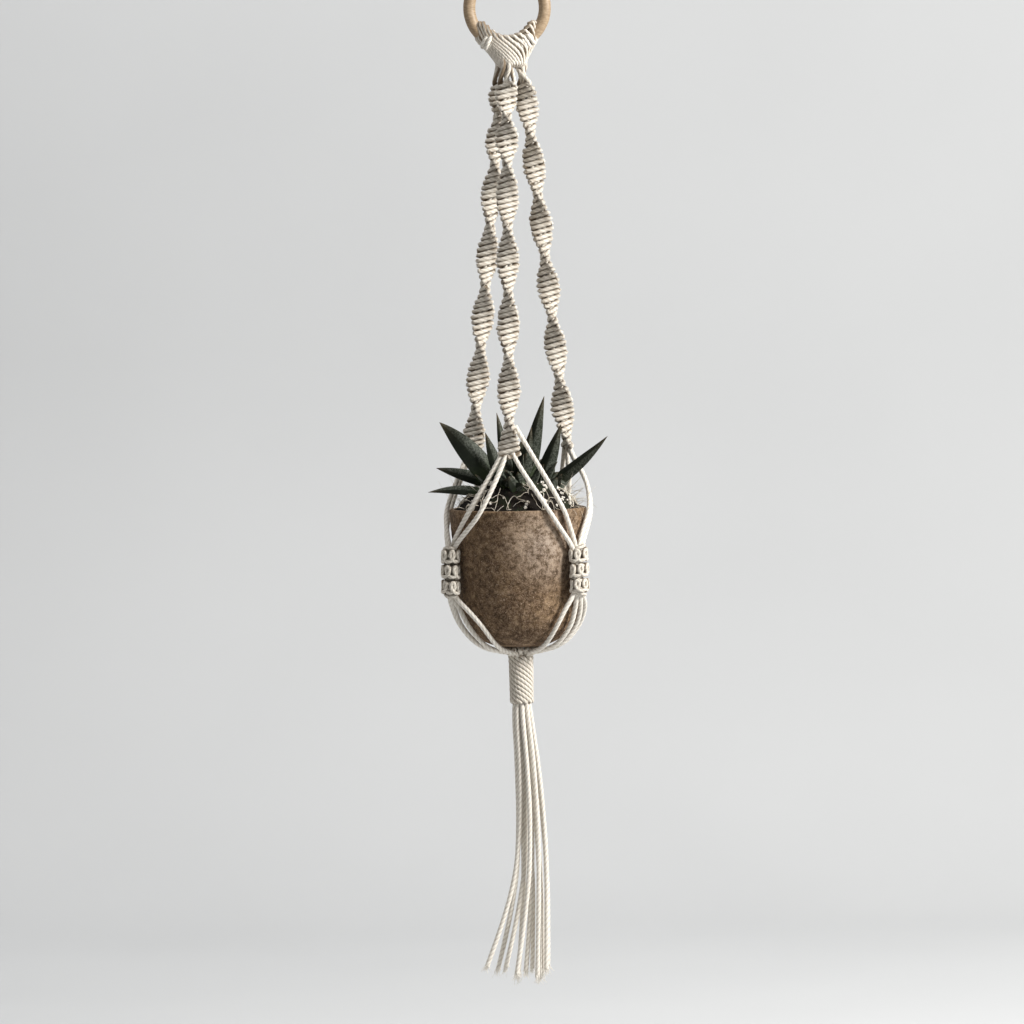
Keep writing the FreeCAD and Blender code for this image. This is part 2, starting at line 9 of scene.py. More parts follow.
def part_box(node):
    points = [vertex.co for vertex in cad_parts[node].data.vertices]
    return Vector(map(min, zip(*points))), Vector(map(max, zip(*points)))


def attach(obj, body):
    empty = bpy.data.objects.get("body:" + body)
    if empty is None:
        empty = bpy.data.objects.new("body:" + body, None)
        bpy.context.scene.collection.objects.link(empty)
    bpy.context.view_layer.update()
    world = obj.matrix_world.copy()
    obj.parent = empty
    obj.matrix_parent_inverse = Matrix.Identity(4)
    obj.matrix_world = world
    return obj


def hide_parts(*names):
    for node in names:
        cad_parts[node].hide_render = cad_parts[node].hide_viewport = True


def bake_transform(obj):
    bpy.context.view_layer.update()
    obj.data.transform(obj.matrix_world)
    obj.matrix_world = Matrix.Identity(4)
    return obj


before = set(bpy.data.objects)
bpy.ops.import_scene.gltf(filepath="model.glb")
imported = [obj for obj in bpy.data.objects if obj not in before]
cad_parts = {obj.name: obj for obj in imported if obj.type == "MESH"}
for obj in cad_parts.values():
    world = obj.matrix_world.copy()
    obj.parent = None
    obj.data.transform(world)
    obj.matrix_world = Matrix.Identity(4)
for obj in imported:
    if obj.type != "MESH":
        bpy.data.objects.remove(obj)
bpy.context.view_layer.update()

MM = 0.001
CORD = 4.0 * MM
CORD_RADIUS = CORD / 2
ROPE = 1.92 * MM

FRONT_ARM, RIGHT_ARM, LEFT_ARM = -7.5, 112.5, -127.5
LEFT_KNOT, RIGHT_KNOT, BACK_KNOT = -67.5, 52.5, 172.5


def polar(radius, azimuth, height):
    """A point from millimetres and degrees round from the front, as in the routes below."""
    angle = math.radians(azimuth)
    return Vector((radius * math.sin(angle), -radius * math.cos(angle), height)) * MM


# ---------------------------------------------------------------- camera

PICTURE_HEIGHT = 0.845
CAMERA_DISTANCE = 4.0
CAMERA_RISE = math.radians(3.0)
CAMERA_ROLL = math.radians(1.23)
AIM = Vector((-0.0048, 0.0, -0.4404))


def make_camera():
    data = bpy.data.cameras.new("camera")
    data.sensor_width = 36.0
    data.lens = data.sensor_width * CAMERA_DISTANCE / PICTURE_HEIGHT
    data.clip_end = 50.0
    camera = bpy.data.objects.new("camera", data)
    bpy.context.collection.objects.link(camera)
    back = Vector((0, -math.cos(CAMERA_RISE), math.sin(CAMERA_RISE)))
    camera.location = AIM + back * CAMERA_DISTANCE
    turn = back.to_track_quat("Z", "Y").to_matrix().to_4x4()
    camera.matrix_world = (Matrix.Translation(camera.location) @ turn
                           @ Matrix.Rotation(-CAMERA_ROLL, 4, "Z"))
    bpy.context.scene.camera = camera


make_camera()

# ---------------------------------------------------------------- strands


def smooth_points(points, per_span=8):
    """A Catmull-Rom line through the points, as an array."""
    p = np.array([tuple(point) for point in points], float)
    p = np.vstack([2 * p[0] - p[1], p, 2 * p[-1] - p[-2]])
    steps = np.linspace(0, 1, per_span, endpoint=False)[:, None]
    spans = []
    for a, b, c, d in zip(p, p[1:], p[2:], p[3:]):
        spans.append(0.5 * (2 * b + (c - a) * steps + (2 * a - 5 * b + 4 * c - d) * steps ** 2
                            + (3 * b - a - 3 * c + d) * steps ** 3))
    return np.vstack(spans + [p[-2]])


def resample(points, step):
    lengths = np.linalg.norm(np.diff(points, axis=0), axis=1)
    along = np.concatenate([[0.0], np.cumsum(lengths)])
    count = max(2, int(round(along[-1] / step)) + 1)
    places = np.linspace(0, along[-1], count)
    return np.stack([np.interp(places, along, points[:, axis]) for axis in range(3)], axis=1), places


def spline_points(name, points, resolution=24):
    """Points along the smooth NURBS line whose control points are the route's points."""
    curve = bpy.data.curves.new(name, "CURVE")
    curve.dimensions = "3D"
    curve.resolution_u = resolution
    spline = curve.splines.new("NURBS")
    spline.points.add(len(points) - 1)
    for target, point in zip(spline.points, points):
        target.co = (*point, 1.0)
    spline.order_u = 3
    spline.use_endpoint_u = True
    holder = bpy.data.objects.new(name, curve)
    bpy.context.collection.objects.link(holder)
    mesh = bpy.data.meshes.new_from_object(holder)
    line = np.array([tuple(vertex.co) for vertex in mesh.vertices])
    bpy.data.objects.remove(holder)
    bpy.data.curves.remove(curve)
    bpy.data.meshes.remove(mesh)
    return line


def frames_along(line):
    """Unit tangents and two unit normals that don't twist along the line."""
    tangents = np.gradient(line, axis=0)
    tangents /= np.linalg.norm(tangents, axis=1)[:, None]
    first = np.cross(tangents[0], (0.0, 0.0, 1.0))
    if np.linalg.norm(first) < 1e-3:
        first = np.cross(tangents[0], (0.0, 1.0, 0.0))
    normal = first / np.linalg.norm(first)
    normals = [normal]
    for tangent in tangents[1:]:
        normal = normal - tangent * normal.dot(tangent)
        normal /= np.linalg.norm(normal)
        normals.append(normal)
    normals = np.array(normals)
    return tangents, normals, np.cross(tangents, normals)


PLIES = 3
# Depth of the grooves between plies and of the strand's slow swelling, as shares of its radius,
# the length of one turn of a ply in diameters, and the swelling's wavelength in radii over 2 pi.
PLY_DEPTH, WAVER_DEPTH = 0.055, 0.04
PLY_PITCH, WAVER_PITCH = 3.6, 5.3
# Groove and hollow values at the end caps, which the cotton material paints as shade.
CAP_GROOVE, CAP_HOLLOW = 0.8, 0.5


class StrandMesh:
    """Gathers twisted strands into one mesh, with attributes that the fibre material reads; it paints shade
    from the groove and hollow values.
    """

    def __init__(self):
        self.points, self.faces, self.fibre, self.groove, self.hollow = [], [], [], [], []
        self.count = 0

    def add(self, line, rng, radius=ROPE, sides=12, step=0.7 * MM, axis=None):
        """Adds one strand along a line.

        axis is the middle line of the bundle it lies in, as two points, where it has one."""
        line, along = resample(np.asarray(line, float), step)
        _, normals, sides_way = frames_along(line)
        phase = rng.uniform(0, 2 * math.pi)
        angle = np.linspace(0, 2 * math.pi, sides, endpoint=False)[None, :]
        ply = angle - (2 * math.pi * along / (PLY_PITCH * 2 * radius))[:, None] - phase
        waver = 1 + WAVER_DEPTH * np.sin(along / (WAVER_PITCH * radius) + phase)[:, None]
        reach = radius * waver * (1 + PLY_DEPTH * np.cos(PLIES * ply))
        ring = (line[:, None, :] + reach[:, :, None]
                * (np.cos(angle)[:, :, None] * normals[:, None, :]
                   + np.sin(angle)[:, :, None] * sides_way[:, None, :]))
        rings = len(line)
        start = self.count
        self.points.append(ring.reshape(-1, 3))
        self.fibre.append(np.stack([np.cos(ply), np.sin(ply),
                                    np.broadcast_to((along / radius)[:, None] + 37 * phase, ply.shape)],
                                   axis=2).reshape(-1, 3))
        self.groove.append((0.5 - 0.5 * np.cos(PLIES * ply)).reshape(-1))
        self.hollow.append(self.hiding(line, ring, axis))
        row = np.arange(rings - 1)[:, None] * sides
        column = np.arange(sides)[None, :]
        after = (column + 1) % sides
        quads = np.stack([row + column, row + after, row + sides + after, row + sides + column], axis=2)
        self.faces.append(quads.reshape(-1, 4) + start)
        self.count += rings * sides
        self.cap(start, sides, line[0], True)
        self.cap(start + (rings - 1) * sides, sides, line[-1], False)

    def hiding(self, line, ring, axis):
        """How far each point of a strand is turned into its bundle: 0 outside, 1 inside; the cotton material
        paints shade from it.
        """
        if axis is None:
            return np.zeros(ring.shape[0] * ring.shape[1])
        first, last = (np.array(tuple(end), float) for end in axis)
        way = (last - first) / np.linalg.norm(last - first)
        middle = first + ((line - first) @ way)[:, None] * way
        outward = line - middle
        outward /= np.maximum(np.linalg.norm(outward, axis=1), 1e-9)[:, None]
        spoke = ring - line[:, None, :]
        spoke /= np.linalg.norm(spoke, axis=2)[:, :, None]
        facing = np.einsum("ijk,ik->ij", spoke, outward)
        return np.clip(0.55 - 0.8 * facing, 0, 1).reshape(-1)

    def cap(self, start, sides, centre, reverse):
        """Closes an end with a fan of triangles about its centre."""
        self.points.append(np.array([centre]))
        self.fibre.append(np.zeros((1, 3)))
        self.groove.append(np.full(1, CAP_GROOVE))
        self.hollow.append(np.full(1, CAP_HOLLOW))
        middle = self.count
        self.count += 1
        for column in range(sides):
            pair = (start + column, start + (column + 1) % sides)
            pair = pair[::-1] if reverse else pair
            self.faces.append(np.array([[pair[0], pair[1], middle, -1]]))

    def build(self, name, material):
        mesh = bpy.data.meshes.new(name)
        faces = [tuple(int(i) for i in face if i >= 0) for face in np.vstack(self.faces)]
        mesh.from_pydata(np.vstack(self.points).tolist(), [], faces)
        mesh.update()
        fibre = mesh.attributes.new("fibre", "FLOAT_VECTOR", "POINT")
        fibre.data.foreach_set("vector", np.vstack(self.fibre).astype(np.float32).ravel())
        for name_of, values in (("groove", self.groove), ("hollow", self.hollow)):
            shade = mesh.attributes.new(name_of, "FLOAT", "POINT")
            shade.data.foreach_set("value", np.concatenate(values).astype(np.float32))
        mesh.polygons.foreach_set("use_smooth", [True] * len(mesh.polygons))
        mesh.materials.append(material)
        thing = bpy.data.objects.new(name, mesh)
        bpy.context.collection.objects.link(thing)
        return thing


def mesh_object(name, points, faces, material, smooth=True):
    mesh = bpy.data.meshes.new(name)
    mesh.from_pydata([tuple(point) for point in points], [], faces)
    mesh.update()
    mesh.polygons.foreach_set("use_smooth", [smooth] * len(mesh.polygons))
    mesh.materials.append(material)
    thing = bpy.data.objects.new(name, mesh)
    bpy.context.collection.objects.link(thing)
    return thing


def tube_faces(rings, sides):
    """Faces of a tube made of rings of points, closed at both ends."""
    faces = []
    for ring in range(rings - 1):
        low, high = ring * sides, (ring + 1) * sides
        for column in range(sides):
            after = (column + 1) % sides
            faces.append((low + column, low + after, high + after, high + column))
    faces.append(tuple(range(sides))[::-1])
    faces.append(tuple((rings - 1) * sides + column for column in range(sides)))
    return faces


def hand_over(piece, slot, body, *replaced):
    """Hides the nodes that a finished piece stands for and hangs it on the body it rides on; the slot is not
    used.
    """
    if replaced:
        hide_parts(*replaced)
    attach(piece, body)


def spun(radius, angle, height):
    """A point from metres and radians round from the front."""
    return Vector((radius * math.sin(angle), -radius * math.cos(angle), height))


# ---------------------------------------------------------------- materials


class Nodes:
    """Short ways to add and join shader nodes."""

    def __init__(self, name, roughness, **shader):
        self.material = bpy.data.materials.new(name)
        self.material.use_nodes = True
        self.tree = self.material.node_tree
        self.shader = self.tree.nodes["Principled BSDF"]
        self.shader.inputs["Roughness"].default_value = roughness
        for key, value in shader.items():
            self.shader.inputs[key.replace("_", " ")].default_value = value

    def add(self, kind, **settings):
        node = self.tree.nodes.new("ShaderNode" + kind)
        for key, value in settings.items():
            if hasattr(node, key):
                setattr(node, key, value)
            else:
                node.inputs[key.replace("_", " ")].default_value = value
        return node

    def join(self, source, target):
        self.tree.links.new(source, target)

    def noise(self, vector, scale, detail=4.0, roughness=0.6):
        node = self.add("TexNoise", Scale=scale, Detail=detail, Roughness=roughness)
        self.join(vector, node.inputs["Vector"])
        return node.outputs["Fac"]

    def stretch(self, vector, scale):
        node = self.add("Mapping", vector_type="POINT")
        node.inputs["Scale"].default_value = scale
        self.join(vector, node.inputs["Vector"])
        return node.outputs["Vector"]

    def ramp(self, factor, stops):
        node = self.add("ValToRGB")
        elements = node.color_ramp.elements
        while len(elements) < len(stops):
            elements.new(0.5)
        for element, (place, colour) in zip(elements, stops):
            element.position = place
            element.color = (*colour, 1.0)
        self.join(factor, node.inputs["Fac"])
        return node.outputs["Color"]

    def mix(self, factor, first, second):
        node = self.add("Mix", data_type="RGBA")
        for socket, value in ((node.inputs["Factor"], factor), (node.inputs["A"], first),
                              (node.inputs["B"], second)):
            self.place(socket, value)
        return node.outputs[2]

    def math(self, operation, first, second=0.0, clamp=False):
        node = self.add("Math", operation=operation, use_clamp=clamp)
        self.place(node.inputs[0], first)
        self.place(node.inputs[1], second)
        return node.outputs["Value"]

    def place(self, socket, value):
        if isinstance(value, bpy.types.NodeSocket):
            self.join(value, socket)
        elif isinstance(value, tuple):
            socket.default_value = (*value, 1.0)
        else:
            socket.default_value = value

    def position(self):
        return self.add("TexCoord").outputs["Object"]

    def attribute(self, name, output="Vector"):
        return self.add("Attribute", attribute_name=name, attribute_type="GEOMETRY").outputs[output]

    def bump(self, height, strength, distance):
        node = self.add("Bump", Strength=strength, Distance=distance)
        self.join(height, node.inputs["Height"])
        self.join(node.outputs["Normal"], self.shader.inputs["Normal"])

    def colour(self, socket):
        self.join(socket, self.shader.inputs["Base Color"])


def cotton_material(name, light, shade, painted_shade, stain=0.25):
    n = Nodes(name, 0.92, Sheen_Weight=0.2, Sheen_Roughness=0.5, Specular_IOR_Level=0.2)
    fibre = n.attribute("fibre")
    streak = n.noise(n.stretch(fibre, (5.0, 5.0, 0.35)), 1.6, 5.0, 0.65)
    hair = n.noise(n.stretch(fibre, (14.0, 14.0, 0.9)), 2.2, 3.0, 0.7)
    groove = n.attribute("groove", "Fac")
    place = n.position()
    patch = n.noise(place, 26.0, 3.0)
    speck = n.noise(place, 900.0, 2.0, 0.8)
    body = n.ramp(streak, [(0.30, shade), (0.52, light)])
    body = n.mix(n.math("MULTIPLY", patch, stain), body, shade)
    # Painted shade: the grooves between the plies are darkened towards the darkest colour.
    body = n.mix(n.math("MULTIPLY", n.math("POWER", groove, 2.2), 0.45), body, painted_shade)
    body = n.mix(n.math("MULTIPLY", n.math("GREATER_THAN", speck, 0.68), 0.3), body, shade)
    # Painted shade: the sides of a strand turned into its bundle are darkened towards the darkest colour,
    # more in some patches.
    hollow = n.math("MULTIPLY", n.attribute("hollow", "Fac"), n.math("ADD", patch, 0.85), clamp=True)
    body = n.mix(n.math("MULTIPLY", hollow, 1.45, clamp=True), body, painted_shade)
    n.colour(body)
    height = n.math("ADD", n.math("MULTIPLY", streak, 0.6), n.math("MULTIPLY", hair, 0.8))
    n.bump(height, 0.55, 0.35 * MM)
    return n.material


# The last colour of each is painted shade for grooves and hollows; knot_cord and wrap_cord are copies of the
# same cotton whose darker last colour paints heavier shade in the knots and wrap turns.
cotton = cotton_material("cotton_cord", (0.90, 0.87, 0.80), (0.66, 0.59, 0.50), (0.34, 0.27, 0.20))
knot_cotton = cotton_material("knot_cord", (0.86, 0.82, 0.74), (0.52, 0.45, 0.36), (0.20, 0.15, 0.10), 0.4)
wrap_cotton = cotton_material("wrap_cord", (0.88, 0.84, 0.76), (0.56, 0.48, 0.39), (0.24, 0.18, 0.12), 0.35)
frayed_cotton = cotton_material("frayed_cotton", (0.92, 0.89, 0.83), (0.70, 0.63, 0.54), (0.45, 0.38, 0.30))

# ---------------------------------------------------------------- declared cords
# Routes as (radius, azimuth, height): the points of the model's own cords, with one more
# point at a knotted end, where the cord runs on inside the knot.

UPPER_ROUTES = {
    "upper_cord_front_1": [(45.4, -12.5, -385), (46, -15.5, -392.4), (61.2, -40, -436), (59.4, -54, -452),
        (60.6, -65.2, -466.2), (60.6, -66.5, -473)],
    "upper_cord_front_2": [(45.4, -9.4, -385), (46.4, -10.2, -392.4), (61.2, -28, -436), (59.6, -45, -453),
        (60.6, -60.6, -466.2), (60.6, -63.5, -473)],
    "upper_cord_front_3": [(45.4, -5.6, -385), (46.4, -4.7, -392.4), (61.2, 24, -436), (59.6, 36, -453),
        (60.6, 45.8, -466.2), (60.6, 48.5, -473)],
    "upper_cord_front_4": [(45.6, -1, -368), (46.8, 4.5, -376), (61.2, 37, -434), (59.5, 45, -450),
        (60.6, 50.2, -466.2), (60.6, 51.5, -473)],
    "upper_cord_right_1": [(45.4, 111, -385), (46.4, 110, -392.4), (58.5, 103, -414), (61.3, 87, -437),
        (59.8, 72, -453), (60.6, 59.3, -466.2), (60.6, 56.5, -473)],
    "upper_cord_right_2": [(45.4, 107, -385), (46, 104.7, -392.4), (58, 95, -415), (61.3, 77, -437),
        (59.8, 64, -453), (60.6, 54.7, -466.2), (60.6, 53.5, -473)],
    "upper_cord_right_3": [(45.4, 114, -385), (46.4, 115.2, -392.4), (61.2, 134, -436), (59.6, 150, -453),
        (60.6, 165.7, -466.2), (60.6, 168.5, -473)],
    "upper_cord_right_4": [(45.4, 118, -385), (46, 120.5, -392.4), (61.2, 146, -436), (59.4, 159, -452),
        (60.6, 170.3, -466.2), (60.6, 171.5, -473)],
    "upper_cord_left_1": [(45.4, -122.5, -385), (46, -119.8, -392.4), (61.2, -103, -436), (59.4, -84, -453),
        (60.6, -69.7, -466.2), (60.6, -68.5, -473)],
    "upper_cord_left_2": [(45.4, -126, -385), (46.4, -125, -392.4), (61.2, -115, -436), (59.6, -93, -454),
        (60.6, -74.6, -466.2), (60.6, -71.5, -473)],
    "upper_cord_left_3": [(45.4, -129, -385), (46.4, -130.3, -392.4), (61.2, -147, -436),
        (59.6, -164, -453), (60.6, -180.7, -466.2), (60.6, -183.5, -473)],
    "upper_cord_left_4": [(45.4, -132.5, -385), (46, -135.6, -392.4), (61.2, -160, -436),
        (59.5, -174, -452), (60.6, -185.3, -466.2), (60.6, -186.5, -473)],
}
LOWER_ROUTES = {
    "lower_cord_left_1": [(60.6, -63.5, -502), (60.6, -61.3, -508), (56.5, -50, -517.5), (51, -38, -531),
        (40, -33, -546), (28, -30, -553.3), (17.6, -28, -555)],
    "lower_cord_left_2": [(60.6, -66.5, -502), (60.6, -65.4, -508), (56.2, -61, -518.5), (50.5, -57, -533),
        (39, -53, -547.3), (27.5, -51, -553.5), (17.6, -49, -555)],
    "lower_cord_left_3": [(60.6, -68.5, -502), (60.6, -69.6, -508), (56.2, -73, -518.5), (50.5, -75, -533),
        (39, -73, -547.3), (27.5, -70, -553.5), (17.6, -68, -555)],
    "lower_cord_left_4": [(60.6, -71.5, -502), (60.6, -73.7, -508), (56.4, -84, -517.5), (50.8, -91, -532),
        (39.5, -93, -547), (27.5, -92, -553.5), (17.6, -90, -555)],
    "lower_cord_right_1": [(60.6, 48.5, -502), (60.6, 46.3, -508), (56.3, 41, -518.5), (50.6, 36, -533),
        (39, 33, -547.3), (27.5, 31, -553.5), (17.6, 30, -555)],
    "lower_cord_right_2": [(60.6, 51.5, -502), (60.6, 50.4, -508), (56.2, 54, -518.5), (50.5, 56, -533),
        (39, 55, -547.3), (27.5, 52, -553.5), (17.6, 50, -555)],
    "lower_cord_right_3": [(60.6, 53.5, -502), (60.6, 54.7, -508), (56.2, 63.5, -518.5), (50.5, 69, -533),
        (39, 69.5, -547.3), (27.5, 68, -553.5), (17.6, 67, -555)],
    "lower_cord_right_4": [(60.6, 56.5, -502), (60.6, 59.1, -508), (56.4, 74, -517.5), (50.8, 83, -532),
        (39.5, 87, -547), (27.5, 88.5, -553.5), (17.6, 88, -555)],
    "lower_cord_back_1": [(60.6, 168.5, -502), (60.6, 166.3, -508), (56.4, 153, -517.5), (50.8, 143, -532),
        (39.5, 139, -547), (27.5, 138, -553.5), (17.6, 138.5, -555)],
    "lower_cord_back_2": [(60.6, 171.5, -502), (60.6, 170.4, -508), (56.2, 166, -518.5), (50.5, 161, -533),
        (39, 159, -547.3), (27.5, 159.5, -553.5), (17.6, 161, -555)],
    "lower_cord_back_3": [(60.6, 173.5, -502), (60.6, 174.6, -508), (56.2, 179, -518.5), (50.5, 183, -533),
        (39, 183.5, -547.3), (27.5, 182.5, -553.5), (17.6, 181, -555)],
    "lower_cord_back_4": [(60.6, 176.5, -502), (60.6, 178.7, -508), (56.4, 191, -517.5), (50.8, 201, -532),
        (39.5, 205, -547), (27.5, 206.5, -553.5), (17.6, 207, -555)],
}
# The tassel's strands: (x, y, z), with one more point at the top, inside the wrap.
TASSEL_ROUTES = {
    "tassel_cord_01": [(0, -5.2, -595), (0, -7.1, -606.9), (3.4, -8.2, -650), (5, -9, -704),
        (1.5, -10, -763), (-9, -11.5, -822)],
    "tassel_cord_02": [(3.4, -4, -595), (4.6, -5.4, -606.9), (9, -6.5, -651), (11.5, -6, -706),
        (10.5, -7.5, -766), (8, -9, -826)],
    "tassel_cord_03": [(5.2, -0.9, -595), (7, -1.2, -606.9), (12.5, -1.5, -650), (17, -0.8, -704),
        (17.6, -3, -762), (15.5, -4, -820)],
    "tassel_cord_04": [(4.5, 2.7, -595), (6.1, 3.6, -606.9), (11.5, 3.8, -649), (16, 5.2, -702),
        (18.6, 3.5, -760), (17, 6, -818)],
    "tassel_cord_05": [(1.8, 4.9, -595), (2.4, 6.7, -606.9), (6.5, 8.4, -651), (11, 10, -707),
        (13.5, 9, -767), (12, 12, -827)],
    "tassel_cord_06": [(-1.8, 4.9, -595), (-2.4, 6.7, -606.9), (1, 9, -650), (4.5, 11.6, -704),
        (6.5, 13.5, -763), (4, 17, -822)],
    "tassel_cord_07": [(-4.5, 2.7, -595), (-6.1, 3.6, -606.9), (-3.2, 5.2, -651), (-1.2, 8, -708),
        (-2, 10.6, -768), (-8, 13, -828)],
    "tassel_cord_08": [(-5.2, -0.9, -595), (-7, -1.2, -606.9), (-5, -1, -650), (-4.8, 1.4, -705),
        (-9, 2.8, -763), (-24.5, 4.4, -820)],
    "tassel_cord_09": [(-3.4, -4, -595), (-4.6, -5.4, -606.9), (-2.8, -6, -649), (-3.4, -4.8, -702),
        (-11, -6, -760), (-33.5, -8, -816)],
    "tassel_cord_10": [(1, -1.8, -595), (1.3, -2.3, -606.9), (5, -2.6, -650), (6.4, -3.2, -704),
        (4.8, -3.4, -763), (-1.5, -4, -822)],
    "tassel_cord_11": [(1, 1.8, -595), (1.3, 2.3, -606.9), (6.2, 2.6, -651), (10.6, 2.4, -707),
        (11.6, 1.6, -767), (9.5, 2, -827)],
    "tassel_cord_12": [(-2, 0, -595), (-2.6, 0, -606.9), (0.4, 1.2, -650), (2, 3.4, -704), (-2.8, 1, -761),
        (-18, -2, -818)],
}


def free_cord(name, points, body):
    """One declared cord: a twisted tube along its route, which leaves the object at point 1."""
    line = spline_points(name + "_line", points)
    strand = StrandMesh()
    strand.add(line, random.Random(name))
    piece = strand.build(name + "_rope", cotton)
    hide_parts(name)
    if body:
        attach(piece, body)
    return piece, line


for cord_name, route in {**UPPER_ROUTES, **LOWER_ROUTES}.items():
    free_cord(cord_name, [polar(*place) for place in route], "hanger")

WRAP_LOW, WRAP_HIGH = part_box("base_wrap")
tassel_lines = {}
for cord_name, route in TASSEL_ROUTES.items():
    rope, tassel_lines[cord_name] = free_cord(cord_name, [Vector(place) * MM for place in route], None)
    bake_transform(rope)

# ---------------------------------------------------------------- knotted arms

HALF_KNOT = 4.3 * MM
# One half knot of a working cord: across the front of the two core cords, as (across, depth,
# height) in millimetres and half knots; the front is negative.
HALF_KNOT_PATH = [(8.1, 0.0, 0.55), (5.9, -1.5, 0.42), (2.2, -2.25, 0.22), (-2.2, -2.25, -0.10),
                  (-5.9, -1.4, -0.32), (-8.2, 0.1, -0.45)]
ARMS = {
    # azimuth of the lower end, neck and shoulder (x, y), height where the band lies across the
    # front, height lost in half a turn, and the same in the tight stretch at the top
    "front": (FRONT_ARM, (-1.0, -5.5), (-1.7, -8.4), -337.8, 52.5, 38.6),
    "right": (RIGHT_ARM, (10.5, 2.5), (13.1, 4.1), -305.8, 50.4, 50.4),
    "left": (LEFT_ARM, (-6.0, 3.4), (-6.4, 5.2), -329.7, 50.6, 37.2),
}
ARM_NECK, ARM_SHOULDER, ARM_END, ARM_TIGHT = -69.5, -88.0, -391.0, -154.0
ARM_CORE_ROPE = 1.75 * MM


def band_turn(height, across_height, half_turn, tight_half_turn):
    """Angle from the left-to-right line to the band's width at a height in millimetres."""
    tight = max(height - ARM_TIGHT, 0.0)
    return math.pi * ((across_height - height + tight) / half_turn - tight / tight_half_turn)


def arm_sinnet(side):
    azimuth, neck_xy, shoulder_xy, *twist = ARMS[side]
    neck = Vector((*neck_xy, ARM_NECK)) * MM
    top = Vector((*shoulder_xy, ARM_SHOULDER)) * MM
    end = polar(46.0, azimuth, ARM_END)
    down = (end - top).normalized()
    count = int((end - top).length / HALF_KNOT)
    rng = random.Random("arm_" + side)

    def place(across, depth, drop):
        """A point of the band: across and depth in millimetres, drop in metres below its top."""
        centre = top + down * drop
        turn = band_turn(centre.z / MM, *twist)
        width = Vector((math.cos(turn), math.sin(turn), 0))
        front = Vector((math.sin(turn), -math.cos(turn), 0))
        return centre + (width * across - front * depth) * MM

    mesh = StrandMesh()
    for working in (0, 1):
        way = 1 - 2 * working
        points = [neck + Vector((-2.7 * way, -1.2 * way, 1.5)) * MM,
                  neck + Vector((-3.0 * way, -1.3 * way, -6)) * MM]
        for half in range(count):
            flip = -1 if (half + working) % 2 else 1
            loose, sag = 1 + rng.uniform(-0.06, 0.05), rng.uniform(-0.12, 0.12)
            for across, depth, height in HALF_KNOT_PATH:
                points.append(place(flip * across * loose, flip * depth * (1 + 0.6 * sag),
                                    (half + 0.5 - height + sag) * HALF_KNOT))
        points.append(place(1.6 * way, 0, (count + 0.6) * HALF_KNOT))
        mesh.add(smooth_points(points, 5), rng, step=0.75 * MM, axis=(top, end))
    for core in (-1, 1):
        points = [neck + Vector((1.3 * core, 1.6 - 3.2 * (core > 0), 1.5)) * MM,
                  neck + Vector((1.5 * core, 1.8 - 3.6 * (core > 0), -8)) * MM]
        points += [place(1.9 * core, 0, drop * 8 * MM + 2 * MM)
                   for drop in range(int((end - top).length / (8 * MM)) + 1)]
        mesh.add(smooth_points(points, 4), rng, ARM_CORE_ROPE, sides=10, step=1.5 * MM)
    piece = mesh.build("arm_knots_" + side, knot_cotton)
    hand_over(piece, "cotton_cord", "hanger", "arm_sinnet_" + side)


for arm_side in ARMS:
    arm_sinnet(arm_side)

# ---------------------------------------------------------------- side knots

KNOT_ROWS = 3
KNOT_CURLS = 6
KNOT_ROPE = 1.6 * MM
# In millimetres and radians: a curl's rise above its row and its swing sideways, the knot's half
# depth, and how much the seams between rows lie inside it.
CURL_RISE, CURL_SWING, KNOT_DEPTH = 4.3, 0.48, 5.6
SEAM_INSET, SEAM_DEPTH, SEAM_DROP = 2.6, 3.8, 2.2


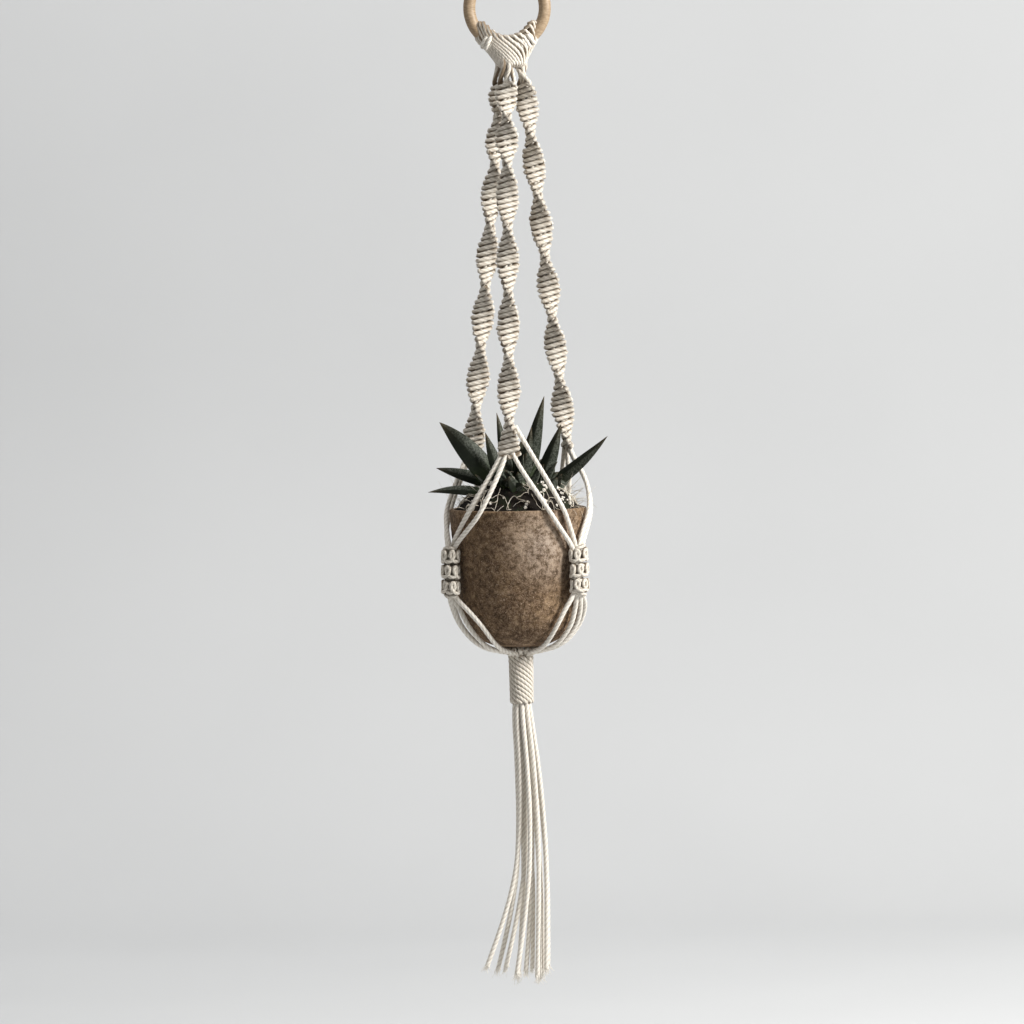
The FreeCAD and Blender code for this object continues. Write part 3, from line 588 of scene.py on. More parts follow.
def side_knot(side, azimuth, half_width, shift_front=0.0):
    """Rows of curls of cord round the core, one for each square knot, pinched between rows."""
    low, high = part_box("side_knot_" + side)
    centre = (Vector(low) + Vector(high)) / 2
    turn = math.radians(azimuth)
    width = Vector((math.cos(turn), math.sin(turn), 0))
    outward = Vector((math.sin(turn), -math.cos(turn), 0))
    rng = random.Random("knot_" + side)
    row_height = (high[2] - low[2]) / KNOT_ROWS
    axis = ((centre.x, centre.y, high[2]), (centre.x, centre.y, low[2]))

    def place(angle, across, depth, height):
        """A point round the knot's body, with its half width and half depth in millimetres."""
        return (Vector((centre.x, centre.y, height)) + outward * (1.2 * MM) + width * shift_front * MM
                + (width * (across * math.sin(angle)) + outward * (depth * math.cos(angle))) * MM)

    mesh = StrandMesh()
    for row in range(KNOT_ROWS):
        middle = high[2] - (row + 0.5) * row_height
        shift = rng.uniform(-0.25, 0.25) + (0.5 if row % 2 else 0.0)
        points = []
        for step in np.linspace(0, 1.04, 14 * KNOT_CURLS + 1):
            curl = 2 * math.pi * KNOT_CURLS * step
            angle = 2 * math.pi * step + shift - CURL_SWING * math.sin(curl)
            out = 0.45 * math.cos(curl * 0.5 + row)
            rise = CURL_RISE * math.cos(curl) + 0.5 * math.sin(angle + row)
            points.append(place(angle, half_width + out, KNOT_DEPTH + out, middle + rise * MM))
        mesh.add(points, rng, KNOT_ROPE, step=0.45 * MM, axis=axis)
    for seam in range(KNOT_ROWS + 1):
        inward = -SEAM_DROP if seam == 0 else SEAM_DROP if seam == KNOT_ROWS else 0
        height = high[2] - seam * row_height + inward * MM
        for lap in (-1, 1):
            points = [place(angle, half_width - SEAM_INSET, SEAM_DEPTH,
                            height + (1.5 * lap + 1.7 * lap * math.sin(angle + 0.8)) * MM)
                      for angle in np.linspace(0, 2 * math.pi * 1.04, 40)]
            mesh.add(points, rng, KNOT_ROPE, step=0.5 * MM, axis=axis)
    for across, depth in ((-2.6, -1.5), (-1.9, 1.8), (2.6, -1.7), (1.9, 1.7)):
        points = [Vector((centre.x, centre.y, height)) + (width * across + outward * depth) * MM
                  for height in np.linspace(high[2] + 1 * MM, low[2] - 1 * MM, 9)]
        mesh.add(smooth_points(points, 4), rng, step=1 * MM)
    piece = mesh.build("square_knots_" + side, knot_cotton)
    hand_over(piece, "cotton_cord", "hanger", "side_knot_" + side)


side_knot("left", LEFT_KNOT, 9.6, 2.2)
side_knot("right", RIGHT_KNOT, 7.6)
side_knot("back", BACK_KNOT, 7.6)

# ---------------------------------------------------------------- ring, loops and collar

RING_LOW, RING_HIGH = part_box("hanging_ring")
RING_CENTRE = (RING_LOW[2] + RING_HIGH[2]) / 2
RING_THICK = RING_HIGH[1] - RING_LOW[1]
RING_RADIUS = (RING_HIGH[0] - RING_LOW[0] - RING_THICK) / 2


def wood_material():
    n = Nodes("ring_wood", 0.42, Specular_IOR_Level=0.45)
    place = n.position()
    grain = n.noise(n.stretch(place, (260.0, 60.0, 900.0)), 1.0, 6.0, 0.7)
    broad = n.noise(n.stretch(place, (30.0, 14.0, 90.0)), 1.0, 3.0)
    pore = n.noise(n.stretch(place, (700.0, 160.0, 2600.0)), 1.0, 2.0, 0.8)
    colour = n.ramp(grain, [(0.30, (0.16, 0.105, 0.058)), (0.50, (0.33, 0.235, 0.145)),
                            (0.68, (0.49, 0.375, 0.25))])
    colour = n.mix(n.math("MULTIPLY", broad, 0.5), colour, (0.40, 0.30, 0.195))
    colour = n.mix(n.math("MULTIPLY", n.math("GREATER_THAN", pore, 0.62), 0.4), colour,
                   (0.17, 0.11, 0.065))
    n.colour(colour)
    n.join(n.math("ADD", n.math("MULTIPLY", grain, 0.3), 0.36), n.shader.inputs["Roughness"])
    n.bump(n.math("ADD", grain, pore), 0.25, 0.15 * MM)
    return n.material


wood = wood_material()
ring_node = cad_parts["hanging_ring"]
for slot_index in range(len(ring_node.material_slots)):
    ring_node.material_slots[slot_index].material = wood


LOOP_ROPE = 1.65 * MM


def ring_loops():
    """The folds of the cords side by side over the ring's lowest arc."""
    mesh = StrandMesh()
    rng = random.Random("loops")
    for number, bearing in enumerate(np.linspace(-37, 33, 15)):
        bearing += rng.uniform(-1.0, 1.0)
        angle = math.radians(bearing)
        reach = RING_THICK / 2 + LOOP_ROPE * rng.uniform(1.0, 1.25) + (1.2 * MM if number == 1 else 0)
        outward = Vector((math.sin(angle), 0, -math.cos(angle)))
        centre = Vector((0, 0, RING_CENTRE)) + outward * RING_RADIUS
        along = Vector((math.cos(angle), 0, math.sin(angle)))
        points = []
        for turn in np.linspace(-150, 150, 15):
            wrap = math.radians(turn)
            lean = along * (turn / 150) * 1.6 * MM
            points.append(centre - outward * (math.cos(wrap) * reach)
                          + Vector((0, -1, 0)) * (math.sin(wrap) * reach) + lean)
        mesh.add(smooth_points(points, 6), rng, LOOP_ROPE, step=0.6 * MM)
    piece = mesh.build("cord_folds", cotton)
    hand_over(piece, "cotton_cord", "hanger", "ring_loops")


# Outline of the tapered wrap, leaning a little to the right: height, left and right edge.
COLLAR_OUTLINE = [(-72.6, -9.7, 14.6), (-69.0, -11.9, 15.8), (-62.0, -17.0, 19.4), (-56.0, -22.5, 22.8),
                  (-52.1, -26.4, 24.9), (-44.0, -27.0, 25.2)]
COLLAR_BOTTOM = -72.6
COLLAR_STRANDS = 30
COLLAR_SWEEP = math.radians(64)
COLLAR_ROPE = 1.5 * MM
COLLAR_AXIS = ((0, 0, -0.045), (2.5 * MM, 0, -0.072))


def collar_place(angle, share, lift=0.0):
    """A point of the tapered wrap: angle round from the front, share of the way down."""
    heights, lefts, rights = zip(*COLLAR_OUTLINE)
    top, reach = -50.0, (RING_RADIUS - RING_THICK / 2) / MM - 1.7
    for _ in range(2):
        left, right = np.interp(top, heights, lefts), np.interp(top, heights, rights)
        x = (left + right) / 2 + (right - left) / 2 * math.sin(angle)
        top = RING_CENTRE / MM - math.sqrt(max(reach ** 2 - min(abs(x), 0.86 * reach) ** 2, 0)) + 0.6
    height = top + (COLLAR_BOTTOM - top) * share
    left, right = np.interp(height, heights, lefts), np.interp(height, heights, rights)
    x = (left + right) / 2 + ((right - left) / 2 + lift) * math.sin(angle)
    depth = 10.0 - 1.9 * share + 0.8 * math.sin(math.pi * share) + lift
    return Vector((x, -depth * math.cos(angle), height)) * MM


def collar_wrap():
    """Turns of the wrapping cord, slanting down to the right over the folded cords."""
    mesh = StrandMesh()
    rng = random.Random("collar")
    for number in range(COLLAR_STRANDS):
        start = 2 * math.pi * number / COLLAR_STRANDS + rng.uniform(-0.02, 0.02)
        points = [collar_place(start - 0.12, 0.0, -3.4)]
        for share in np.linspace(0.03, 0.97, 11):
            points.append(collar_place(start + COLLAR_SWEEP * share ** 1.15, share,
                                       -1.3 + rng.uniform(-0.1, 0.1)))
        points.append(collar_place(start + COLLAR_SWEEP * 1.04, 1.05, -4.2))
        mesh.add(smooth_points(points, 5), rng, COLLAR_ROPE, sides=10, step=0.55 * MM, axis=COLLAR_AXIS)
    piece = mesh.build("collar_turns", wrap_cotton)
    hand_over(piece, "wrap_cord", "hanger", "collar_wrap")


ring_loops()
collar_wrap()

# ---------------------------------------------------------------- gathering and base wrap

WRAP_STARTS = 11
WRAP_SLOPE = math.radians(38)
WRAP_ROPE = 1.6 * MM
INNER_STRANDS = 14
INNER_ROPE = 1.85 * MM


def base_wrap():
    mesh = StrandMesh()
    rng = random.Random("wrap")
    radius = (WRAP_HIGH[0] - WRAP_LOW[0]) / 2 - WRAP_ROPE
    height = WRAP_HIGH[2] - WRAP_LOW[2]
    for number in range(WRAP_STARTS):
        start = 2 * math.pi * number / WRAP_STARTS
        total = height / math.tan(WRAP_SLOPE) / radius
        points = []
        for share in np.linspace(-0.03, 1.03, 40):
            angle = start + total * share
            tuck = 2.6 * MM * (1 if share < 0 or share > 1 else 0)
            slant = 1 - 0.06 * share
            points.append(Vector(((radius - tuck) * slant * math.sin(angle),
                                  -(radius - tuck) * slant * math.cos(angle),
                                  WRAP_HIGH[2] - height * min(max(share, 0.02), 0.98))))
        mesh.add(smooth_points(points, 4), rng, WRAP_ROPE, step=0.6 * MM,
                 axis=((0, 0, WRAP_HIGH[2]), (0, 0, WRAP_LOW[2])))
    piece = mesh.build("wrap_turns", wrap_cotton)
    hand_over(piece, "wrap_cord", "hanger", "base_wrap")


def gathered_cords():
    """The twelve cords turning down from under the pot into the wrap, and strands between them."""
    mesh = StrandMesh()
    rng = random.Random("gather")
    for number, route in enumerate(LOWER_ROUTES.values()):
        azimuth = route[-1][1]
        inner = 5.2 if number % 3 else 2.4
        points = [polar(19.5, azimuth, -554.9), polar(16, azimuth, -555.3), polar(11.5, azimuth + 5, -556.2),
                  polar(7.6, azimuth + 10, -559.5), polar(inner + 0.6, azimuth + 16, -565),
                  polar(inner, azimuth + 30, -588)]
        mesh.add(smooth_points(points, 8), rng)
    for number in range(INNER_STRANDS):
        azimuth = 360 / INNER_STRANDS * number + rng.uniform(-5, 5)
        points = [polar(14.5, azimuth + 8, -553.6), polar(11.5, azimuth, -553.6), polar(8.4, azimuth, -555.6),
                  polar(6.4, azimuth + 10, -559.5), polar(4.6, azimuth + 20, -566),
                  polar(4.0, azimuth + 30, -575)]
        mesh.add(smooth_points(points, 8), rng, INNER_ROPE)
    piece = mesh.build("gathered_cords", knot_cotton)
    hand_over(piece, "cotton_cord", "hanger", "gathered_core")


base_wrap()
gathered_cords()

# ---------------------------------------------------------------- frayed tips and tassel head

HAIRS_A_TIP = 26


def fine_tube(points, radius, sides, tip=0.25):
    """Points and faces of a thin tapering tube along a short line."""
    line = np.array([tuple(point) for point in points])
    _, normals, sideways = frames_along(line)
    angle = np.linspace(0, 2 * math.pi, sides, endpoint=False)
    reach = radius * np.linspace(1.0, tip, len(line))
    ring = line[:, None, :] + reach[:, None, None] * (np.cos(angle)[None, :, None] * normals[:, None, :]
                                                      + np.sin(angle)[None, :, None] * sideways[:, None, :])
    return ring.reshape(-1, 3), tube_faces(len(line), sides)


class Tubes:
    """Gathers many thin tubes into one mesh."""

    def __init__(self):
        self.points, self.faces, self.count = [], [], 0

    def add(self, points, radius, sides=5, tip=0.25):
        ring, faces = fine_tube(points, radius, sides, tip)
        self.points.append(ring)
        self.faces += [tuple(index + self.count for index in face) for face in faces]
        self.count += len(ring)

    def build(self, name, material):
        return mesh_object(name, np.vstack(self.points), self.faces, material)


def frayed_tips():
    tubes = Tubes()
    rng = random.Random("fray")
    for name, line in tassel_lines.items():
        tip, before = Vector(line[-1]), Vector(line[-6])
        way = (tip - before).normalized()
        for _ in range(HAIRS_A_TIP):
            spread = Vector((rng.gauss(0, 1), rng.gauss(0, 1), rng.gauss(0, 0.4))) * 0.34
            start = tip - way * rng.uniform(0.5, 3.5) * MM + Vector(
                (rng.uniform(-1, 1), rng.uniform(-1, 1), 0)) * 1.3 * MM
            length = rng.uniform(3.5, 8.0) * MM
            bow = Vector((rng.gauss(0, 1), rng.gauss(0, 1), 0)) * 0.9 * MM
            points = [start + (way + spread * share) * length * share + bow * share * (1 - share) * 4
                      for share in np.linspace(0, 1, 6)]
            tubes.add(points, rng.uniform(0.22, 0.42) * MM)
    piece = tubes.build("frayed_tips", frayed_cotton)
    hand_over(piece, "cotton_cord", "tassel")


def tassel_root():
    """The short bunch of cord ends inside the wrap that the tassel hangs by."""
    mesh = StrandMesh()
    rng = random.Random("root")
    low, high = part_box("tassel_head")
    for number in range(6):
        angle = 2 * math.pi * number / 6 + 0.3
        radius = 2.6 * MM
        points = [spun(radius, angle + turn * 0.2, high[2] - turn * (high[2] - low[2]))
                  for turn in np.linspace(0.05, 1.3, 5)]
        mesh.add(smooth_points(points, 5), rng, CORD_RADIUS * 0.8)
    piece = mesh.build("tassel_root", cotton)
    hand_over(piece, "cotton_cord", "tassel", "tassel_head")


frayed_tips()
tassel_root()

# ---------------------------------------------------------------- pot

POT_LOW, POT_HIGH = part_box("pot")
POT_RADIUS = (POT_HIGH[0] - POT_LOW[0]) / 2
POT_FOOT, POT_CORNER, POT_WALL, POT_FLOOR, DRAIN_RADIUS = (12.6 * MM, 38 * MM, 5 * MM, 6 * MM, 6 * MM)


def cup_side(foot, corner, floor, rim, top):
    """Outline from the foot round the corner and up the wall to the rim, as (radius, height)."""
    centre = Vector((foot, floor + corner))
    reach = Vector((rim, top)) - centre
    lean = math.atan2(reach.y, reach.x) - math.acos(corner / reach.length)
    points = [centre + Vector((math.cos(a), math.sin(a))) * corner
              for a in np.linspace(-math.pi / 2, lean, 30)]
    last = points[-1]
    points += [last.lerp(Vector((rim, top)), share) for share in np.linspace(0.04, 1, 44)]
    return points


def pot_outline():
    outside = cup_side(POT_FOOT, POT_CORNER, POT_LOW[2], POT_RADIUS, POT_HIGH[2])
    inside = cup_side(POT_FOOT, POT_CORNER - POT_WALL, POT_LOW[2] + POT_FLOOR, POT_RADIUS - POT_WALL,
                      POT_HIGH[2])
    outer_lip = [outside[-1] + Vector((-0.15, -0.9)) * MM, outside[-1] + Vector((-0.5, -0.25)) * MM,
                 outside[-1] + Vector((-1.2, 0.0)) * MM]
    inner_lip = [inside[-1] + Vector((1.2, 0.0)) * MM, inside[-1] + Vector((0.4, -0.3)) * MM]
    floor_outside = [Vector((DRAIN_RADIUS + 0.4 * MM, POT_LOW[2])), Vector((POT_FOOT * 0.8, POT_LOW[2]))]
    floor_inside = [Vector((POT_FOOT * 0.8, POT_LOW[2] + POT_FLOOR)),
                    Vector((DRAIN_RADIUS, POT_LOW[2] + POT_FLOOR)),
                    Vector((DRAIN_RADIUS, POT_LOW[2] + 0.5 * POT_FLOOR)),
                    Vector((DRAIN_RADIUS, POT_LOW[2] + 0.4 * MM))]
    return floor_outside + outside[:-1] + outer_lip + inner_lip + inside[:-1][::-1] + floor_inside


def terracotta_material():
    n = Nodes("terracotta", 0.9, Specular_IOR_Level=0.25)
    place = n.position()
    broad = n.noise(place, 34.0, 6.0, 0.7)
    blotch = n.noise(place, 210.0, 7.0, 0.75)
    grain = n.noise(place, 380.0, 5.0, 0.75)
    fine = n.noise(place, 1100.0, 3.0, 0.8)
    pits = n.add("TexVoronoi", feature="F1", Scale=210.0, Randomness=1.0)
    warp = n.add("VectorMath", operation="ADD")
    n.join(place, warp.inputs[0])
    n.join(n.mix(0.988, n.add("TexNoise", Scale=300.0).outputs["Color"], (0.5, 0.5, 0.5)), warp.inputs[1])
    n.join(warp.outputs["Vector"], pits.inputs["Vector"])
    clay = n.ramp(broad, [(0.34, (0.070, 0.038, 0.019)), (0.50, (0.142, 0.087, 0.045)),
                          (0.66, (0.255, 0.168, 0.095))])
    clay = n.mix(n.ramp(blotch, [(0.40, (0.85, 0.85, 0.85)), (0.52, (0.0, 0.0, 0.0))]), clay,
                 (0.040, 0.024, 0.011))
    clay = n.mix(n.ramp(blotch, [(0.50, (0.0, 0.0, 0.0)), (0.66, (0.75, 0.75, 0.75))]), clay,
                 (0.43, 0.31, 0.195))
    clay = n.mix(n.ramp(grain, [(0.44, (0.0, 0.0, 0.0)), (0.60, (0.8, 0.8, 0.8))]), clay,
                 n.ramp(fine, [(0.42, (0.060, 0.034, 0.019)), (0.54, (0.22, 0.142, 0.086)),
                               (0.66, (0.56, 0.43, 0.32))]))
    bloom_area = n.add("VectorMath", operation="DISTANCE")
    n.join(place, bloom_area.inputs[0])
    bloom_area.inputs[1].default_value = (0.024, -0.050, -0.464)
    near = n.math("SUBTRACT", 1.0, n.math("MULTIPLY", bloom_area.outputs["Value"], 24.0), clamp=True)
    bloom_and_painted_light = n.math("MULTIPLY", near, n.ramp(blotch, [(0.42, (0.1, 0.1, 0.1)), (0.56, (1, 1, 1))]))
    clay = n.mix(n.math("MULTIPLY", bloom_and_painted_light, 0.75, clamp=True), clay, (0.50, 0.41, 0.335))
    dark_pit = n.math("MULTIPLY", n.math("LESS_THAN", pits.outputs["Distance"], 0.20), 0.85)
    clay = n.mix(dark_pit, clay, (0.022, 0.012, 0.006))
    n.colour(clay)
    height = n.math("ADD", n.math("MULTIPLY", grain, 0.6), n.math("MULTIPLY", fine, 0.35))
    height = n.math("ADD", height, n.math("MULTIPLY", blotch, 0.8))
    n.bump(height, 1.0, 0.9 * MM)
    return n.material


POT_SEGMENTS = 220


def make_pot():
    outline = pot_outline()
    rows = len(outline)
    points, faces = [], []
    for radius, height in outline:
        for column in range(POT_SEGMENTS):
            angle = 2 * math.pi * column / POT_SEGMENTS
            point = spun(radius, angle, height)
            rough = (0.28 * noise.noise(point * 90.0) + 0.16 * noise.noise(point * 320.0)) * MM
            rings = 0.07 * math.sin(height * 2300.0 + 3.0 * noise.noise(point * 25.0)) * MM
            outer = 1 if radius > DRAIN_RADIUS * 1.2 else 0
            scale = 1 + outer * (rough + rings - 0.22 * MM) / max(radius, 8 * MM)
            points.append(Vector((point.x * scale, point.y * scale, point.z)))
    for row in range(rows):
        following = (row + 1) % rows
        for column in range(POT_SEGMENTS):
            after = (column + 1) % POT_SEGMENTS
            faces.append((row * POT_SEGMENTS + column, row * POT_SEGMENTS + after,
                          following * POT_SEGMENTS + after, following * POT_SEGMENTS + column))
    piece = mesh_object("clay_pot", points, faces, terracotta_material())
    hand_over(piece, "terracotta", "pot", "pot")


make_pot()

# ---------------------------------------------------------------- soil and roots

SOIL_CROWN = 25 * MM
SOIL_DEPTH = 25 * MM
LYING_ROOTS, ARCHING_ROOTS, GRIT_CRUMBS = 70, 64, 150
INNER_RIM = POT_RADIUS - POT_WALL


def ground(x, y):
    """Height of the soil's surface, with lumps, at a place over the pot."""
    share = min(math.hypot(x, y) / INNER_RIM, 1.0)
    heap = SOIL_CROWN * (1 - share ** 2.6) - 2.5 * MM * share ** 8
    place = Vector((x, y, 0.0))
    lumps = (2.6 * noise.noise(place * 70.0) + 1.5 * noise.noise(place * 180.0)
             + 0.7 * noise.noise(place * 520.0)) * MM
    return POT_HIGH[2] + heap + lumps * (1 - 0.6 * share ** 6)


def soil_material():
    n = Nodes("soil", 0.95, Specular_IOR_Level=0.2)
    place = n.position()
    crumb = n.noise(place, 260.0, 6.0, 0.75)
    moss = n.noise(place, 60.0, 4.0, 0.6)
    chips = n.add("TexVoronoi", feature="F1", Scale=420.0)
    n.join(place, chips.inputs["Vector"])
    colour = n.ramp(crumb, [(0.30, (0.003, 0.002, 0.002)), (0.55, (0.011, 0.008, 0.006)),
                            (0.75, (0.05, 0.036, 0.024))])
    colour = n.mix(n.math("MULTIPLY", n.math("GREATER_THAN", moss, 0.56), 0.5), colour,
                   (0.020, 0.030, 0.013))
    colour = n.mix(n.math("MULTIPLY", n.math("LESS_THAN", chips.outputs["Distance"], 0.13), 0.5), colour,
                   (0.22, 0.18, 0.13))
    n.colour(colour)
    n.bump(crumb, 1.0, 1.2 * MM)
    return n.material


def make_soil():
    rings, segments = 70, 200
    points = [Vector((0, 0, ground(0, 0)))]
    faces = []
    for ring in range(1, rings + 1):
        radius = (INNER_RIM - 0.4 * MM) * ring / rings
        for column in range(segments):
            angle = 2 * math.pi * column / segments
            x, y = radius * math.sin(angle), -radius * math.cos(angle)
            points.append(Vector((x, y, ground(x, y))))
    for column in range(segments):
        after = (column + 1) % segments
        faces.append((0, 1 + column, 1 + after))
        for ring in range(rings - 1):
            low, high = 1 + ring * segments, 1 + (ring + 1) * segments
            faces.append((low + column, high + column, high + after, low + after))
    edge = 1 + (rings - 1) * segments
    bottom = len(points)
    for column in range(segments):
        angle = 2 * math.pi * column / segments
        radius = INNER_RIM - 2.5 * MM
        points.append(spun(radius, angle, POT_HIGH[2] - SOIL_DEPTH))
    points.append(Vector((0, 0, POT_HIGH[2] - SOIL_DEPTH)))
    for column in range(segments):
        after = (column + 1) % segments
        faces.append((edge + column, bottom + column, bottom + after, edge + after))
        faces.append((bottom + column, len(points) - 1, bottom + after))
    piece = mesh_object("soil_heap", points, faces, soil_material())
    hand_over(piece, "soil", "pot", "potting_soil")


def root_material():
    n = Nodes("dry_roots", 0.85, Specular_IOR_Level=0.2)
    place = n.position()
    tone = n.noise(place, 240.0, 4.0, 0.7)
    n.colour(n.ramp(tone, [(0.34, (0.30, 0.24, 0.17)), (0.50, (0.62, 0.56, 0.46)),
                           (0.66, (0.88, 0.85, 0.77))]))
    n.bump(tone, 0.5, 0.2 * MM)
    return n.material


def dry_roots():
    """Pale wiry roots that wander over the heap, some arching clear of it or over the rim."""
    tubes = Tubes()
    rng = random.Random("roots")
    for number in range(LYING_ROOTS):
        angle = rng.uniform(0, 2 * math.pi)
        radius = INNER_RIM * math.sqrt(rng.uniform(0.10, 1.0)) * 0.97
        x, y = radius * math.sin(angle), -radius * math.cos(angle)
        heading = rng.uniform(0, 2 * math.pi)
        lift, arch = rng.uniform(0.2, 1.6) * MM, rng.choice([0, 0, 2.5, 5.0]) * MM
        points, steps = [], rng.randint(8, 20)
        for step in range(steps):
            heading += rng.gauss(0, 0.30)
            x += 2.1 * MM * math.cos(heading)
            y += 2.1 * MM * math.sin(heading)
            reach = math.hypot(x, y)
            if reach > INNER_RIM - 1.0 * MM:
                heading += 1.3
                x *= (INNER_RIM - 1.2 * MM) / reach
                y *= (INNER_RIM - 1.2 * MM) / reach
            hump = 1.6 * MM * abs(noise.noise(Vector((x, y, number * 0.01)) * 160.0))
            rise = arch * math.sin(math.pi * step / (steps - 1))
            points.append(Vector((x, y, ground(x, y) + lift * 0.5 + hump + rise)))
        tubes.add(smooth_points(points, 3), rng.uniform(0.20, 0.42) * MM, sides=6, tip=0.5)
    for number in range(ARCHING_ROOTS):
        angle = math.radians(rng.choice([rng.uniform(55, 110), rng.uniform(-115, -55),
                                         rng.uniform(-180, 180)]))
        way = Vector((math.sin(angle), -math.cos(angle), 0))
        start = way * (INNER_RIM - rng.uniform(2, 16) * MM)
        start.z = ground(start.x, start.y) - 0.5 * MM
        across = Vector((-way.y, way.x, 0))
        length, rise = rng.uniform(6, 17) * MM, rng.uniform(-0.1, 0.9)
        bend, side = rng.gauss(0, 0.5), rng.gauss(0, 0.5)
        points = [start + (way * share + across * (side * share * share)
                           + Vector((0, 0, rise * share + bend * share * share))) * length
                  for share in np.linspace(0, 1, 8)]
        tubes.add(smooth_points(points, 2), rng.uniform(0.15, 0.30) * MM, sides=5, tip=0.3)
    piece = tubes.build("dry_roots", root_material())
    hand_over(piece, "soil", "pot")


def grit_material():
    n = Nodes("grit", 0.9, Specular_IOR_Level=0.2)
    tone = n.noise(n.position(), 500.0, 4.0, 0.7)
    n.colour(n.ramp(tone, [(0.32, (0.34, 0.28, 0.21)), (0.50, (0.74, 0.70, 0.62)),
                           (0.66, (0.92, 0.90, 0.86))]))
    n.bump(tone, 0.6, 0.4 * MM)
    return n.material


def white_grit():
    """Crumbs of pale grit on the soil, thickest at the right and the left of the heap."""
    rng = random.Random("grit")
    points, faces = [], []
    around, rows = 9, 6
    for number in range(GRIT_CRUMBS):
        angle = math.radians(rng.choice([rng.gauss(72, 16), rng.gauss(72, 16), rng.gauss(-62, 14),
                                         rng.uniform(-180, 180)]))
        radius = INNER_RIM * rng.uniform(0.45, 0.95)
        size = rng.uniform(0.5, 1.7) * MM
        middle = spun(radius, angle, 0)
        middle.z = ground(middle.x, middle.y) + 0.25 * size
        first = len(points)
        for row in range(rows + 1):
            lift = math.pi * row / rows
            for column in range(around):
                turn = 2 * math.pi * column / around
                way = Vector((math.sin(lift) * math.cos(turn), math.sin(lift) * math.sin(turn),
                              math.cos(lift)))
                bump = 1 + 0.45 * noise.noise(way * 1.7 + Vector((number, 0, 0)))
                points.append(middle + way * size * bump)
        for row in range(rows):
            for column in range(around):
                after = (column + 1) % around
                low, high = first + row * around, first + (row + 1) * around
                faces.append((low + column, high + column, high + after, low + after))
    piece = mesh_object("white_grit", points, faces, grit_material(), smooth=False)
    hand_over(piece, "soil", "pot")


make_soil()
dry_roots()
white_grit()

# ---------------------------------------------------------------- leaves
# Each leaf: base (radius, azimuth), middle and tip (radius, azimuth, height), widest width,
# and how far its face is turned from up to the front, from 0 to 1.

LEAVES = {
    "leaf_left_broad": ((18, -62), (42, -75, -385), (65, -75, -364.5), 19.5, 0.85),
    "leaf_left_middle": ((18, -104), (45, -92, -408), (66.5, -92, -403), 11, 0.75),
    "leaf_left_low": ((31, -58), (52, -68, -418), (75, -78, -422), 8.5, 0.7),
    "leaf_upper_left": ((7, -120), (12, -125, -390), (20, -128, -358.7), 10, 0.9),
    "leaf_front_left": ((17, -40), (27, -44, -396), (33, -50, -373.6), 11, 0.85),
    "leaf_tall": ((9, 60), (16, 56, -385), (30, 52, -344.7), 13.5, 0.9),
    "leaf_front_right": ((17, 12), (20, 24, -396), (26, 29, -370), 11, 0.85),
    "leaf_upper_right": ((19, 74), (30, 70, -396), (40, 68, -368), 13, 0.85),
    "leaf_right_long": ((24, 100), (52, 80, -404), (78.7, 72, -378.5), 11, 0.75),
    "leaf_back": ((18, 172), (34, 172, -398), (50, 172, -380), 13, 0.0),
}


def leaf_material():
    n = Nodes("leaf", 0.62, Specular_IOR_Level=0.22)
    place = n.position()
    run = n.attribute("leaf_run")
    split = n.add("SeparateXYZ")
    n.join(run, split.inputs[0])
    length, across = split.outputs[0], split.outputs[1]
    mottle = n.noise(place, 150.0, 5.0, 0.65)
    vein = n.noise(n.stretch(run, (3.0, 22.0, 1.0)), 1.4, 3.0, 0.6)
    speck = n.noise(place, 700.0, 3.0, 0.75)
    green = n.ramp(mottle, [(0.30, (0.003, 0.005, 0.002)), (0.52, (0.008, 0.012, 0.006)),
                            (0.72, (0.022, 0.028, 0.015))])
    green = n.mix(n.math("MULTIPLY", vein, 0.25), green, (0.030, 0.036, 0.024))
    # Painted light: one half of each leaf, to one side of its fold, is painted paler grey-green as the side
    # turned to the light.
    half = n.math("MULTIPLY", n.math("ADD", across, 0.12), 5.0, clamp=True)
    bloom_and_painted_light = n.ramp(speck, [(0.42, (0.024, 0.030, 0.020)), (0.60, (0.135, 0.145, 0.120))])
    green = n.mix(n.math("MULTIPLY", half, 0.72), green, bloom_and_painted_light)
    base = n.math("SUBTRACT", 1.0, n.math("MULTIPLY", length, 2.9), clamp=True)
    green = n.mix(n.math("MULTIPLY", base, 0.35), green, (0.075, 0.13, 0.020))
    tip = n.math("POWER", length, 9.0)
    green = n.mix(n.math("MULTIPLY", tip, 0.6), green, (0.16, 0.11, 0.06))
    n.colour(green)
    n.bump(n.math("ADD", mottle, n.math("MULTIPLY", vein, 0.7)), 0.35, 0.4 * MM)
    return n.material


leaf_green = leaf_material()
LEAF_RINGS, LEAF_SIDES = 34, 20
YOUNG_LEAVES = 64


def leaf_width(share):
    """Half width along a leaf, as a share of its widest: full low down, drawn to a point."""
    return (0.78 + 0.22 * math.sin(min(share / 0.30, 1.0) * math.pi / 2)) * (
        1 if share < 0.30 else max(math.cos((share - 0.30) / 0.70 * math.pi / 2), 0.0) ** 0.95)


